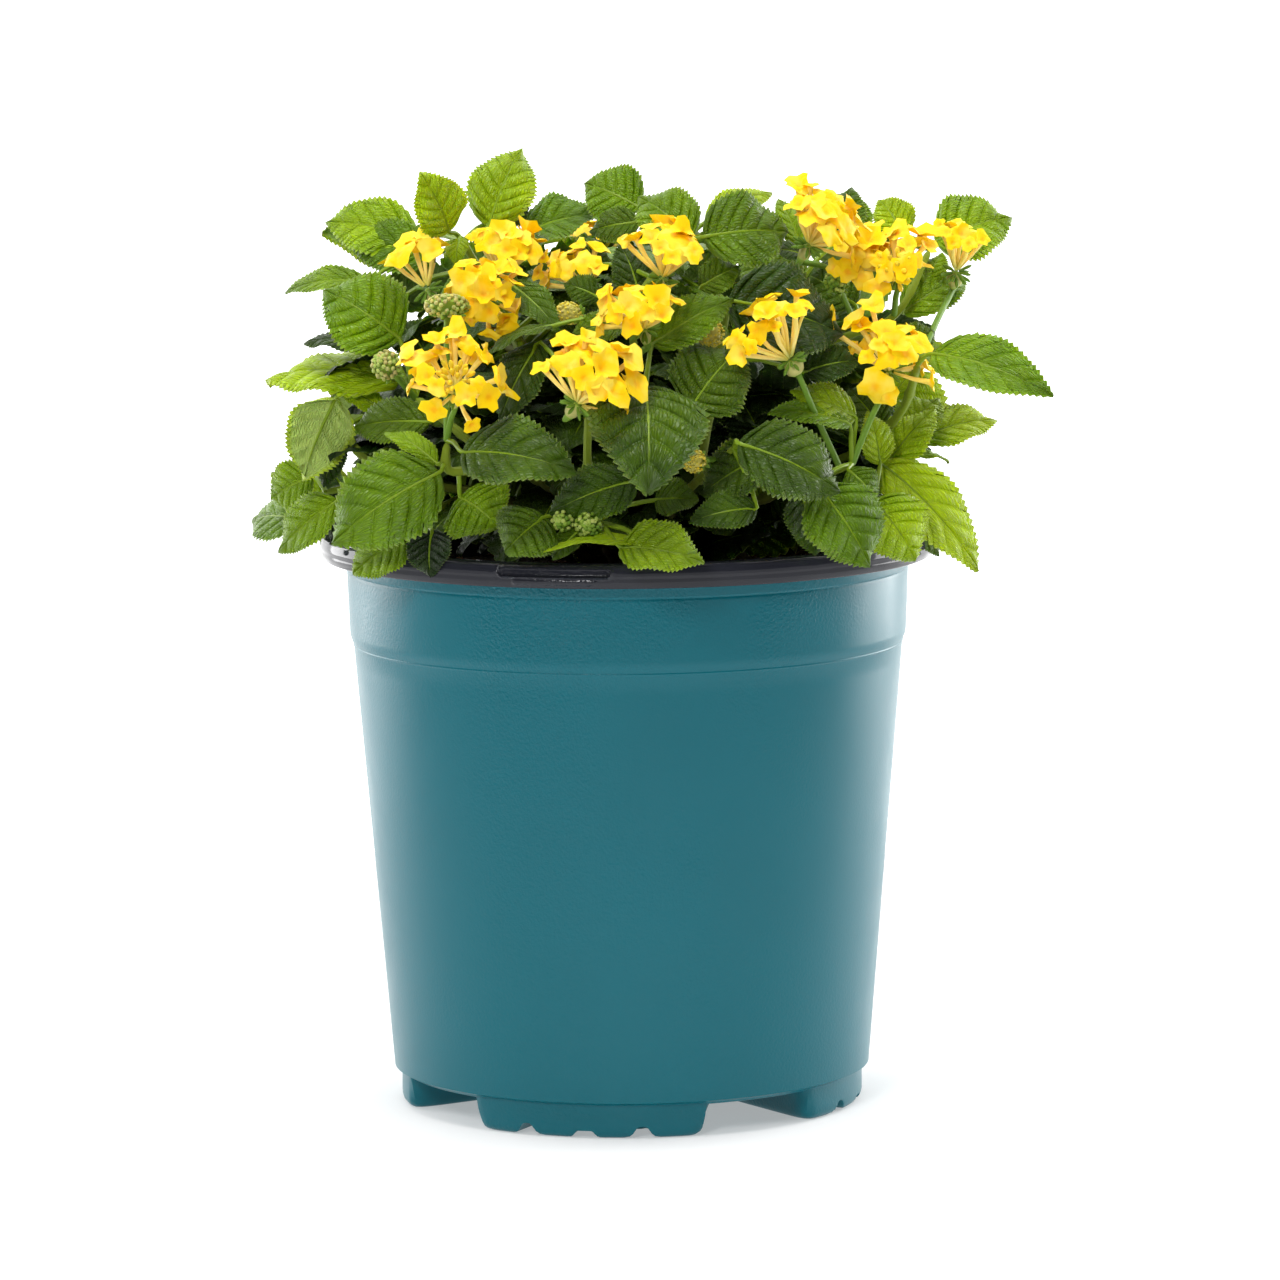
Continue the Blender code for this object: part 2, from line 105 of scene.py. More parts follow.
# Leaves: how much wider the blades are than the tables say, how high they arch as a share of their length,
# and the side veins of half a blade. A detail has the teeth on each side, the columns of points from the
# midrib to the margin, and the stalk's steps and sides.
FULLER = 1.12
ARCH = 0.2
VEINS = 7
FINE = (20, (0, 0.09, 0.27, 0.46, 0.65, 0.83, 1.0), 3, 6)
PLAIN = (18, (0, 0.12, 0.4, 0.72, 1.0), 2, 6)
COARSE = (13, (0, 0.3, 0.7, 1.0), 2, 5)
INNER = (9, (0, 0.45, 1.0), 1, 5)
TOOTH_ROWS = 4
INNER_PIECES = 4
# Young leaves at a branch's tip: the angle round it, mm back from its end, and how far they lift along it
TIP_LEAVES = [(0, 0, 0.9), (math.pi, 0, 0.9), (1.57, 9, 0.5), (4.71, 9, 0.5), (0.8, -1, 4.0)]

# The dome that the inner leaves fill, in mm
DOME_RADIUS = 150
DOME_MIDDLE = 255
DOME_HEIGHT = 105
# How many of them, their heights and their reach as a share of the dome's radius
INNER_LEAVES = [(130, (232, 322), (0.62, 0.92)), (90, (222, 300), (0.38, 0.66)),
                (110, (232, 312), (0.10, 0.50))]
HIGH_LEAVES = (44, (305, 340), (0.05, 0.85))

# The radius of a quarter of an open flower's rim, as shares of its size
LOBE = np.array((0.74, 1.03, 1.03))

# The world's strength climbs from the third number to the fourth as a ray turns from front to back. Below the
# horizon it is at least WORLD_LOW's third number, in the floor's stead.
WORLD_FADE = (-0.20, 0.50, 0.04, 2.0)
WORLD_LOW = (-0.03, 0.03, 0.95, 0.0)
FLOOR_RADIUS = 0.62
# Lamps by name, place, target's height, size in metres and power in watts
LAMPS = [
    ("overhead", (0.0, -0.40, 1.7), 0.25, 0.8, 19.0),
    ("left", (-1.4, 0.90, 0.45), 0.20, 1.1, 14.0),
    ("right", (1.4, 0.85, 0.45), 0.20, 1.1, 22.0),
    ("front", (-0.75, -2.3, 1.5), 0.22, 0.6, 25.0),
]


class Head(NamedTuple):
    """A flower head by its stalk's top and its bloom's middle, both pixels, and its radius in mm.

    Near gives how near the stalk's top and the middle lie. `limbs` are the open flowers that face the
    viewer, each by its middle and radius in pixels, and `count` more open round the rest of the head, out
    to `spread` degrees from its axis. `buds` are still shut, and `swell` is the receptacle's radius in mm.
    """

    stalk_top: tuple
    middle: tuple
    near: tuple
    radius: float
    hold: tuple = None
    limbs: tuple = ()
    count: int = 9
    spread: float = 100.0
    buds: int = 0
    swell: float = 2.3


class Cone(NamedTuple):
    """A shut or spent head: its middle in pixels, how near it lies, its half width and half height in mm.

    Its stalk comes from the stem point nearest to `hold`. `ripe` runs from 0, green, to 1, golden, and
    `bumps` are its scars or buds.
    """

    middle: tuple
    near: float
    half: tuple
    hold: tuple
    ripe: float
    bumps: int


# A leaf's tone is partly its own colour and partly painted light and shade: higher where the leaf is lit,
# lower where it lies in shade.
# A row is a leaf: the pixels of its blade's base and tip, how near each lies, its width in mm, its tone from
# 0, dark, to 1, bright, and the degrees by which its upper face rolls from the viewer to the sky, if not 25.
# These leaves stand for imported solids, and are named by their side and number.
LEAVES = {
    "left": {
        1: (407, 249, 322, 230, -10, -25, 27, 0.9, 150), 3: (449, 232, 420, 172, 42, 56, 20, 1),
        5: (400, 340, 322, 289, 40, 35, 33, 0.65), 7: (400, 382, 264, 380, 25, 5, 28, 1, 55),
        9: (336, 398, 302, 482, 45, 50, 25, 1, 160), 12: (308, 520, 251, 522, -75, -115, 20, 0.55, 30),
        13: (338, 500, 277, 553, 40, 30, 18, 0.7), 16: (440, 472, 330, 545, 95, 100, 34, 0.55),
        18: (408, 538, 352, 575, 85, 85, 22, 0.75, 35),
    },
    "centre": {
        1: (462, 452, 578, 472, 105, 125, 28, 0.35, 30), 3: (545, 517, 504, 553, 112, 122, 26, 0.45),
        5: (645, 386, 648, 492, 104, 147, 40, 0.3, 10), 6: (620, 547, 705, 563, 127, 136, 22, 0.7, 35),
        9: (690, 410, 742, 346, 100, 95, 32, 0.35), 12: (703, 237, 790, 232, 70, 55, 28, 0.45),
        14: (692, 238, 637, 196, 60, 45, 22, 0.65), 17: (488, 227, 523, 147, 28, 12, 24, 0.85, 20),
        19: (522, 235, 600, 214, 16, 22, 22, 0.55, 40),
    },
    "right": {
        1: (728, 300, 845, 335, 85, 75, 36, 0.1), 2: (738, 443, 842, 493, 115, 112, 28, 0.3, 30),
        4: (818, 487, 871, 568, 100, 105, 30, 0.5), 13: (935, 242, 1013, 217, -6, -12, 28, 0.75, 30),
        14: (903, 313, 967, 277, 20, 0, 18, 0.8), 17: (932, 354, 1054, 396, 86, 118, 21, 0.7, 30),
        19: (912, 442, 998, 420, 20, 5, 18, 0.95, 40), 23: (880, 462, 980, 572, 45, 50, 25, 1, 30),
        25: (873, 500, 916, 562, 75, 78, 27, 0.9, 30),
    },
    "back": {
        1: (560, 370, 470, 400, -95, -150, 34, 0.65, 110), 2: (708, 372, 790, 400, -95, -150, 34, 1, 110),
    },
}

# The leaves between them, in one piece for each part of the plant. Their tone too is partly painted light and
# shade.
MORE_LEAVES = {
    "left_low": [
        (342, 440, 323, 488, 30, 32, 10, 0.25), (312, 476, 270, 500, 15, 5, 18, 0.7),
        (345, 485, 326, 546, 25, 20, 12, 0.2), (430, 422, 352, 428, 55, 40, 17, 0.45),
        (437, 464, 384, 432, 88, 75, 11, 0.8, 50), (432, 530, 430, 578, 92, 98, 17, 0),
        (460, 497, 499, 527, 85, 95, 28, 0.7),
    ],
    "left_high": [
        (435, 256, 348, 245, 0, -12, 20, 0.6), (366, 282, 284, 293, 20, 5, 12, 0.65, 50),
        (385, 350, 303, 343, 25, 15, 18, 0.25, 60), (385, 412, 338, 389, 30, 25, 12, 1, 50),
        (490, 222, 530, 208, 20, 14, 14, 0.2, 40), (460, 238, 456, 265, 36, 44, 8, 0.95),
        (418, 238, 324, 222, -6, -20, 22, 0.85), (432, 362, 396, 320, 18, 12, 18, 0.25),
        (486, 306, 470, 266, 28, 22, 16, 0.25),
    ],
    "centre_low": [
        (540, 342, 498, 425, 80, 85, 18, 0.25), (637, 480, 548, 514, 108, 116, 20, 0.35),
        (655, 548, 537, 553, 122, 124, 14, 1, 70), (580, 530, 552, 560, 116, 122, 9, 0.4),
        (757, 508, 688, 522, 104, 110, 15, 0.35), (768, 455, 700, 495, 92, 98, 22, 0.25),
        (655, 500, 699, 500, 98, 104, 14, 0.5),
    ],
    "centre_high": [
        (652, 345, 735, 298, 93, 90, 17, 0.6), (700, 288, 740, 266, 72, 70, 13, 0.45),
        (706, 222, 773, 192, 40, 28, 14, 1, 40), (640, 208, 583, 183, 30, 20, 23, 0.6),
        (640, 222, 588, 232, 38, 32, 13, 0.4), (508, 283, 560, 331, 60, 78, 14, 0.4),
        (600, 298, 563, 283, 62, 60, 11, 0.4), (622, 325, 572, 333, 80, 88, 11, 0.5),
        (552, 326, 482, 358, 84, 92, 14, 0.4, 75), (640, 300, 620, 243, 58, 50, 17, 0.35),
        (590, 265, 585, 232, 40, 34, 12, 0.35), (800, 300, 742, 262, 25, 15, 26, 0.65),
        (760, 440, 740, 398, 40, 34, 22, 0.05),
    ],
    "right_low": [
        (801, 493, 816, 556, 92, 98, 19, 0.25), (848, 470, 878, 500, 82, 88, 13, 0.45),
        (856, 418, 790, 390, 72, 84, 15, 0.8), (850, 425, 767, 413, 78, 92, 13, 0.65, 50),
        (903, 432, 940, 398, 25, 15, 18, 0.85), (886, 466, 936, 408, 40, 30, 17, 1),
        (880, 465, 868, 410, 52, 50, 13, 1), (905, 454, 950, 462, 30, 20, 15, 1, 75),
        (905, 512, 940, 557, 34, 32, 10, 0.45),
    ],
    "right_high": [
        (803, 372, 860, 360, 80, 74, 14, 0.2), (800, 245, 778, 198, 30, 22, 12, 0.75),
        (806, 256, 766, 250, 52, 56, 10, 0.3, 50), (842, 240, 862, 200, 10, 0, 18, 0.7),
        (905, 235, 878, 199, 5, -5, 15, 1), (925, 285, 943, 252, 10, 0, 11, 0.75),
        (905, 345, 936, 332, 55, 50, 11, 0.5), (890, 400, 917, 368, 50, 45, 9, 1),
        (832, 246, 852, 186, 10, 2, 22, 0.4), (856, 306, 798, 270, 18, 10, 22, 0.4),
        (880, 428, 848, 388, 30, 24, 20, 0.5),
    ],
}

# The last three, a half-hidden head and two at the back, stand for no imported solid
HEADS = {
    "head_01": Head((430, 294), (412, 262), (45, 50), 19, count=3, spread=50, swell=2.6, limbs=(
        (397, 253, 13), (413, 242, 14), (432, 249, 11), (421, 236, 8))),
    "head_02": Head((501, 282), (507, 244), (44, 44), 19, count=9, spread=60, limbs=(
        (481, 235, 8), (490, 242, 11), (507, 234, 12), (518, 240, 10), (505, 250, 10), (530, 252, 12),
        (520, 252, 9), (497, 232, 9))),
    "head_03": Head((484, 300), (482, 292), (74, 90), 14, hold=(515, 330, 34), limbs=(
        (467, 261, 11), (459, 285, 12), (484, 276, 11), (484, 294, 12), (505, 296, 11), (495, 287, 9),
        (490, 312, 11), (505, 319, 10), (470, 320, 7), (471, 301, 10), (470, 275, 9), (518, 270, 9),
        (502, 326, 10))),
    "head_04": Head((455, 398), (457, 365), (112, 122), 19, spread=110, buds=26, limbs=(
        (413, 354, 17), (402, 347, 11), (472, 425, 8), (455, 331, 11), (436, 340, 10), (468, 342, 10),
        (489, 351, 10), (502, 379, 11), (489, 397, 11), (466, 397, 10), (435, 385, 9), (427, 376, 9),
        (434, 410, 11), (482, 384, 8))),
    "head_05": Head((574, 408), (606, 364), (124, 136), 20, swell=3.0, limbs=(
        (566, 342, 12), (568, 366, 13), (582, 347, 13), (607, 347, 14), (631, 360, 14), (638, 384, 14),
        (614, 392, 13), (584, 378, 13), (602, 369, 14), (592, 356, 11), (620, 379, 12), (596, 393, 11),
        (588, 336, 9), (620, 348, 11))),
    "head_06": Head((645, 334), (640, 308), (100, 106), 17, hold=(637, 372, 66), spread=80, limbs=(
        (605, 301, 12), (628, 307, 11), (632, 326, 11), (657, 300, 12), (673, 298, 10), (648, 313, 11),
        (662, 316, 8), (638, 300, 8), (604, 290, 8), (616, 313, 9))),
    "head_07": Head((662, 284), (668, 250), (85, 88), 21, count=6, spread=42, swell=2.6, limbs=(
        (635, 236, 10), (651, 238, 9), (690, 241, 20), (684, 230, 10), (694, 250, 9), (661, 248, 9),
        (672, 256, 8), (625, 241, 6))),
    "head_08": Head((793, 365), (776, 333), (96, 100), 25, hold=(836, 457, 72), count=5, spread=48, swell=4.0,
                    limbs=(
        (735, 339, 10), (742, 354, 9), (754, 331, 11), (766, 313, 12), (779, 308, 10), (795, 311, 10),
        (808, 303, 9), (751, 347, 8), (774, 326, 8))),
    "head_09": Head((806, 250), (826, 214), (60, 64), 20, spread=84, limbs=(
        (798, 184, 13), (811, 183, 8), (798, 204, 11), (813, 198, 12), (825, 195, 12), (839, 198, 13),
        (850, 205, 9), (810, 214, 12), (826, 213, 12), (842, 219, 12), (858, 220, 11), (832, 231, 12),
        (848, 231, 12), (839, 243, 10))),
    "head_10": Head((850, 272), (860, 250), (42, 46), 14, count=6, limbs=(
        (866, 231, 11), (854, 245, 12), (869, 240, 12), (879, 243, 10), (854, 260, 11), (867, 255, 11),
        (848, 272, 9), (861, 275, 9), (834, 268, 9), (872, 227, 9))),
    "head_11": Head((897, 280), (895, 258), (45, 58), 15, hold=(896, 316, 28), buds=14, limbs=(
        (895, 232, 11), (921, 233, 13), (927, 244, 9), (905, 270, 11), (884, 272, 9), (878, 287, 10),
        (902, 249, 8), (909, 245, 8), (917, 259, 8), (881, 257, 9), (901, 276, 7))),
    "head_12": Head((955, 277), (962, 240), (18, 26), 19, hold=(915, 370, 70), count=5, spread=38, swell=3.2,
                    limbs=(
        (939, 224, 7), (957, 221, 8), (948, 231, 10), (961, 234, 10), (973, 231, 10), (983, 239, 8),
        (953, 243, 7), (969, 243, 8))),
    "head_13": Head((888, 376), (893, 345), (72, 80), 17, hold=(856, 462, 78), spread=120, limbs=(
        (872, 304, 12), (861, 325, 10), (832, 331, 14), (855, 321, 11), (886, 331, 12), (895, 343, 11),
        (920, 342, 13), (906, 354, 12), (892, 357, 11), (866, 356, 8), (901, 326, 9), (874, 388, 15),
        (887, 398, 8), (878, 344, 9))),
    "head_back_01": Head((600, 260), (600, 225), (-60, -72), 16, hold=(640, 410, -72), count=24),
    "head_back_02": Head((760, 330), (775, 300), (-95, -112), 16, hold=(684, 374, -80), count=24),
    "head_back_03": Head((480, 340), (465, 310), (-80, -98), 16, count=24),
    "bloom_14": Head((590, 292), (570, 262), (44, 48), 16, hold=(588, 330, 60), count=6, spread=70, limbs=(
        (542, 257, 8), (557, 260, 12), (583, 260, 13), (577, 243, 8), (597, 268, 9), (568, 272, 9),
        (537, 272, 8))),
    "bloom_back_04": Head((610, 300), (628, 262), (-120, -128), 15, hold=(600, 400, -70), count=24),
    "bloom_back_05": Head((846, 330), (850, 296), (-80, -92), 15, hold=(760, 420, -60), count=24),
}

# Heads that are shut or spent
CONES = {
    "bud_01": Cone((386, 365), 58, (5.8, 5.4), (414, 398, 42), 0.28, 80),
    "bud_02": Cone((836, 281), 42, (4.6, 4.6), (853, 322, 24), 0.10, 60),
    "cone_03": Cone((447, 306), 88, (8.6, 4.4), (447, 440, 92), 0.32, 110),
    "cone_04": Cone((570, 313), 66, (4.3, 5.4), (560, 340, 72), 0.57, 130),
    "cone_05": Cone((711, 334), 82, (5.2, 5.4), (727, 300, 66), 0.57, 130),
    "cone_06": Cone((694, 461), 104, (4.6, 4.4), (716, 440, 84), 0.58, 130),
    "cone_07": Cone((588, 525), 118, (5.0, 4.8), (592, 522, 100), 0.12, 70),
    "cone_08": Cone((563, 521), 116, (4.2, 4.2), (585, 528, 98), 0.12, 56),
}

# Each branch leaves the crown on a bearing (degrees from the front, positive to the right) and a tier,
# then passes through pixels at so many millimetres in front of the pot's axis. Its side shoots leave it
# at the point that their first entry gives.
BRANCHES = {
    "branch_left_low": (-82, LOW_TIER, [
        [(520, 505, 25), (420, 480, 35), (362, 455, 38), (345, 420, 38)],
        [(420, 480, 35), (370, 484, 32), (326, 492, 28)],
        [(470, 494, 29), (440, 508, 50), (416, 524, 70)],
    ]),
    "branch_left": (-50, HIGH_TIER, [
        [(540, 480, 60), (480, 470, 82), (448, 470, 88), (447, 440, 92)],
        [(510, 474, 72), (450, 425, 55), (415, 398, 42)],
    ]),
    "branch_upper_left": (-112, HIGH_TIER, [
        [(575, 450, 10), (520, 340, 25), (462, 240, 30)],
        [(536, 368, 22), (500, 310, 42)],
    ]),
    "branch_front": (-18, LOW_TIER, [
        [(600, 530, 60), (592, 522, 105)],
        [(597, 527, 80), (588, 470, 95), (588, 415, 98)],
    ]),
    "branch_centre": (10, HIGH_TIER, [
        [(640, 480, 50), (645, 420, 82), (645, 388, 95)],
        [(641, 460, 61), (636, 370, 66), (636, 302, 66), (688, 240, 45)],
    ]),
    "branch_front_right": (40, LOW_TIER, [
        [(680, 500, 60), (735, 447, 95)],
        [(698, 484, 74), (712, 400, 75), (728, 303, 66)],
    ]),
    "branch_right": (68, HIGH_TIER, [
        [(760, 500, 50), (852, 464, 76)],
        [(800, 486, 62), (845, 500, 62), (886, 508, 62)],
    ]),
    "branch_far_right": (96, LOW_TIER, [
        [(800, 475, 15), (905, 440, 22)],
        [(860, 455, 18), (902, 410, 48), (918, 364, 74)],
    ]),
    "branch_upper_right": (128, HIGH_TIER, [
        [(700, 430, -5), (790, 310, 15), (800, 262, 35)],
        [(750, 362, 6), (850, 335, 20), (898, 312, 25), (930, 249, 8)],
    ]),
    "branch_back": (180, LOW_TIER, [
        [(620, 480, -50), (562, 370, -82)],
        [(604, 450, -60), (698, 362, -84)],
        [(612, 462, -56), (480, 478, -84), (330, 505, -72)],
        [(614, 466, -54), (760, 476, -88), (880, 492, -74)],
    ]),
}

# Branches that the back of the plant repeats, turned by so many degrees
BACK_TURNS = {"branch_left": 172, "branch_centre": 160, "branch_front_right": 186, "branch_right": 168,
              "branch_upper_right": 150, "branch_upper_left": 205}

# The outline of the front leaves in pixels: its top and its foot
TOP_LINE = [(255, 640), (262, 500), (275, 420), (310, 330), (335, 250), (400, 232), (480, 235), (560, 232),
            (600, 205), (700, 210), (770, 200), (850, 205), (890, 232), (960, 262), (985, 330), (1000, 380),
            (1005, 430), (985, 500), (990, 640)]
LOW_LINE = [(250, 530), (300, 545), (345, 575), (905, 575), (932, 560), (945, 450), (1000, 425)]

# The side that each part of the back repeats, and its turn in degrees
BACK_COPIES = {"left": ("right", 172), "middle": ("centre", 184), "right": ("left", 190)}


def unit(vectors):
    """The vectors over their lengths."""
    return vectors / np.maximum(np.linalg.norm(vectors, axis=-1, keepdims=True), 1e-12)


def bearing_way(bearing):
    """The level way on a bearing in radians, from the front, 0, to the right."""
    return np.array((math.sin(bearing), -math.cos(bearing), 0.0))


def pixel_point(pixel, near):
    """The eye plus the pixel's ray, stretched to the plane `near` mm in front of the pot's axis."""
    across, down = pixel[0] - PICTURE / 2, pixel[1] - PICTURE / 2
    low = across * math.sin(EYE_ROLL) + down * math.cos(EYE_ROLL)
    ray = np.array((
        across * math.cos(EYE_ROLL) - down * math.sin(EYE_ROLL),
        EYE_FOCUS * math.cos(EYE_PITCH) - low * math.sin(EYE_PITCH),
        -EYE_FOCUS * math.sin(EYE_PITCH) - low * math.cos(EYE_PITCH),
    ))
    return EYE + ray * ((-near * MM - EYE[1]) / ray[1])


def point_pixel(point):
    """The pixel that shows a point: the inverse of pixel_point."""
    right, deep, high = point - EYE
    depth = deep * math.cos(EYE_PITCH) - high * math.sin(EYE_PITCH)
    low = -(deep * math.sin(EYE_PITCH) + high * math.cos(EYE_PITCH)) / depth * EYE_FOCUS
    right = right / depth * EYE_FOCUS
    return (PICTURE / 2 + right * math.cos(EYE_ROLL) + low * math.sin(EYE_ROLL),
            PICTURE / 2 - right * math.sin(EYE_ROLL) + low * math.cos(EYE_ROLL))


def turned_about_axis(points, degrees):
    """Points turned about the pot's axis."""
    cosine, sine = math.cos(math.radians(degrees)), math.sin(math.radians(degrees))
    return points @ np.array(((cosine, sine, 0), (-sine, cosine, 0), (0, 0, 1)))


class Skin(NamedTuple):
    """Points, four-sided and three-sided faces, and named marks with a value or a pair for each point."""

    points: np.ndarray
    quads: np.ndarray
    triangles: np.ndarray
    marks: dict


def closed_skin(rings, **marks):
    """Closed surfaces from rings of points, shaped (surfaces, rings, points in a ring, 3).

    Neighbouring rings are joined by quads, and each end is closed by a fan to its ring's mean. A ring runs
    right-handed about the way the rings go. A mark is spread over the points of the rings.
    """
    count, length, around = rings.shape[:3]
    size = length * around
    ends = rings[:, [0, -1]].mean(axis=2)
    points = np.concatenate([rings.reshape(count, size, 3), ends], axis=1).reshape(-1, 3)
    here = np.arange(around)
    after = (here + 1) % around
    rows = (np.arange(length - 1) * around)[:, None]
    quads = np.stack([rows + here, rows + after, rows + around + after, rows + around + here], axis=-1)
    last = (length - 1) * around
    fans = np.concatenate([
        np.stack([np.full(around, size), after, here], axis=-1),
        np.stack([np.full(around, size + 1), last + here, last + after], axis=-1),
    ])
    shift = (np.arange(count) * (size + 2))[:, None, None]
    kept = {}
    for name, value in marks.items():
        pair = np.shape(value)[3:]
        full = np.broadcast_to(value, (count, length, around) + pair)
        tips = full[:, [0, -1]].mean(axis=2)
        kept[name] = np.concatenate([full.reshape((count, size) + pair), tips], axis=1).reshape((-1,) + pair)
    return Skin(points, (quads.reshape(1, -1, 4) + shift).reshape(-1, 4), (fans + shift).reshape(-1, 3), kept)


def joined(skins):
    """One skin from several; a mark that a skin lacks is 0 there."""
    starts = np.cumsum([0] + [len(skin.points) for skin in skins])
    shapes = {name: values.shape[1:] for skin in skins for name, values in skin.marks.items()}
    marks = {name: np.concatenate([skin.marks.get(name, np.zeros((len(skin.points),) + shape))
                                   for skin in skins]) for name, shape in shapes.items()}
    return Skin(np.concatenate([skin.points for skin in skins]),
                np.concatenate([skin.quads + start for skin, start in zip(skins, starts)]),
                np.concatenate([skin.triangles + start for skin, start in zip(skins, starts)]), marks)


def placed(name, data):
    """A new object in the scene."""
    made = bpy.data.objects.new(name, data)
    bpy.context.scene.collection.objects.link(made)
    return made


def add_piece(name, skins, finish, stands_for=(), crease=60.0):
    """Makes a mesh of skins, and says what it rides on, what it stands for and its finish."""
    skin = joined(skins)
    mesh = bpy.data.meshes.new(name)
    corners = np.concatenate([skin.quads.ravel(), skin.triangles.ravel()]).astype(np.int32)
    sides = np.repeat((4, 3), (len(skin.quads), len(skin.triangles)))
    starts = np.concatenate([[0], np.cumsum(sides)[:-1]]).astype(np.int32)
    mesh.vertices.add(len(skin.points))
    mesh.vertices.foreach_set("co", skin.points.astype(np.float32).ravel())
    mesh.loops.add(len(corners))
    mesh.loops.foreach_set("vertex_index", corners)
    mesh.polygons.add(len(sides))
    mesh.polygons.foreach_set("loop_start", starts)
    mesh.update(calc_edges=True)
    mesh.validate()
    for mark, values in skin.marks.items():
        if values.ndim == 2:
            layer = mesh.uv_layers.new(name=mark)
            layer.data.foreach_set("uv", values[corners].astype(np.float32).ravel())
        else:
            layer = mesh.attributes.new(mark, "FLOAT", "POINT")
            layer.data.foreach_set("value", values.astype(np.float32))
    mesh.set_sharp_from_angle(angle=math.radians(crease))
    mesh.materials.append(finish)
    piece = placed(name, mesh)
    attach(piece, BODY)
    if stands_for:
        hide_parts(*stands_for)


def bezier(first, second, third, t):
    """A quadratic curve from the first point to the third, drawn towards the second."""
    return first * (1 - t) ** 2 + second * 2 * t * (1 - t) + third * t ** 2


def smooth_route(stops, steps=6):
    """A Catmull-Rom curve: each span blends cubically between two stops with its neighbours' slopes."""
    stops = np.asarray(stops)
    ends = np.concatenate([[2 * stops[0] - stops[1]], stops, [2 * stops[-1] - stops[-2]]])
    a, b, c, d = (ends[i:len(ends) - 3 + i][:, None] for i in range(4))
    t = (np.arange(steps) / steps)[None, :, None]
    route = 0.5 * (2 * b + (c - a) * t + (2 * a - 5 * b + 4 * c - d) * t ** 2
                   + (3 * b - a - 3 * c + d) * t ** 3)
    return np.concatenate([route.reshape(-1, 3), stops[-1:]])


def round_turns(count):
    """So many angles, spaced evenly round a circle."""
    return np.arange(count) * 2 * math.pi / count


def circles(centres, first, second, turns, reach):
    """Rings of points: centre + reach (first way * cos turn + second way * sin turn)."""
    ways = first[..., None, :] * np.cos(turns)[..., None] + second[..., None, :] * np.sin(turns)[..., None]
    return centres[..., None, :] + reach[..., None] * ways


def cross_frame(way):
    """Two ways square to each other and to a way, so that the three are right-handed."""
    helper = np.where(np.abs(way[..., 2:]) < 0.9, (0, 0, 1.0), (1.0, 0, 0))
    first = unit(np.cross(helper, way))
    return first, np.cross(way, first)


def frame_along(way):
    """The matrix that carries +Z onto a way."""
    return np.stack([*cross_frame(way), way])


def tube(route, radii, sides=8, square=0.0, **marks):
    """A closed tube: rings about the route, whose reference is the normal of the route's mean plane.

    `square` pushes the ring out four times round by that share of its radius.
    """
    along = unit(np.gradient(route, axis=0))
    first = unit(np.cross(along, np.linalg.svd(route - route.mean(axis=0))[2][2]))
    turns = round_turns(sides)
    reach = np.asarray(radii)[:, None] * (1 + square * np.cos(4 * turns))
    rings = circles(route, first, np.cross(along, first), turns, reach)
    return closed_skin(rings[None], **{name: np.asarray(value)[..., None] for name, value in marks.items()})


def branch_routes(bearing, tier, shoots):
    """Each shoot's route and radii: out of the crown, then through the stops, thinning to a twig."""
    out = bearing_way(math.radians(bearing))
    start = np.array((0.0, 0.0, tier * MM))
    routes = []
    for number, shoot in enumerate(shoots):
        stops = [pixel_point(stop, stop[2]) for stop in shoot]
        thick = TWIG_RADIUS * 1.2
        if number == 0:
            stops = [start + out * 5 * MM, start + out * (CROWN_RADIUS + 7 * MM)] + stops
            thick = BRANCH_RADIUS
        route = smooth_route(stops)
        routes.append((route, np.linspace(thick, TWIG_RADIUS, len(route))))
    return routes


def stem_skin(route, radii, age):
    """A squarish stem: a tube with a bell-shaped swelling at every node, that closes in a rounded tip."""
    place = np.concatenate([[0], np.cumsum(np.linalg.norm(np.diff(route, axis=0), axis=1))])
    fine = np.arange(0, place[-1], STEM_STEP)
    path = np.stack([np.interp(fine, place, route[:, axis]) for axis in range(3)], axis=-1)
    off = (fine + 8 * MM) % NODE_PITCH - NODE_PITCH / 2
    thick = np.interp(fine, place, radii) * (1 + 0.28 * np.exp(-(off / (2.2 * MM)) ** 2))
    thick[-1] *= 0.5
    return tube(path, thick, 10, 0.10, age=np.interp(fine, [0, place[-1]], [age, age * 0.3]))


def nearest_stem(stems, target):
    """The point of the stems' axes nearest to a target."""
    start, end = stems
    way = end - start
    part = np.clip(((target - start) * way).sum(-1) / (way ** 2).sum(-1), 0, 1)
    points = start + way * part[:, None]
    return points[np.argmin(np.linalg.norm(points - target, axis=-1))]


class Blade(NamedTuple):
    """A blade in place: its midrib's base, bend and tip, the way its upper face looks, width and tone, partly
    painted light and shade.
    """

    base: np.ndarray
    bend: np.ndarray
    tip: np.ndarray
    up: np.ndarray
    width: float
    tone: float


def leaf_blade(leaf, turn=0.0):
    """The blade of a table's row, its face rolled from the eye to the sky, turned about the pot's axis."""
    near, tip_near, width, tone, roll = (*leaf[4:], 25)[:5]
    base, tip = pixel_point(leaf[:2], near), pixel_point(leaf[2:4], tip_near)
    axis = unit(tip - base)
    to_eye = unit(EYE - base)
    face = unit(to_eye - axis * (to_eye @ axis))
    edge = np.cross(axis, face)
    if edge[2] < 0:
        edge = -edge
    up = face * math.cos(math.radians(roll)) + edge * math.sin(math.radians(roll))
    bend = (base + tip) / 2 + up * np.linalg.norm(tip - base) * ARCH
    turned = (turned_about_axis(part, turn) for part in (base, bend, tip, up))
    return Blade(*turned, width * FULLER * MM, tone)


def free_blade(base, tip, up, arch, width, tone):
    """A blade whose upper face looks as near to a way as its midrib lets it, and that arches by a share."""
    axis = unit(tip - base)
    up = unit(up - axis * (up @ axis))
    return Blade(base, (base + tip) / 2 + up * arch * np.linalg.norm(tip - base), tip, up, width, tone)


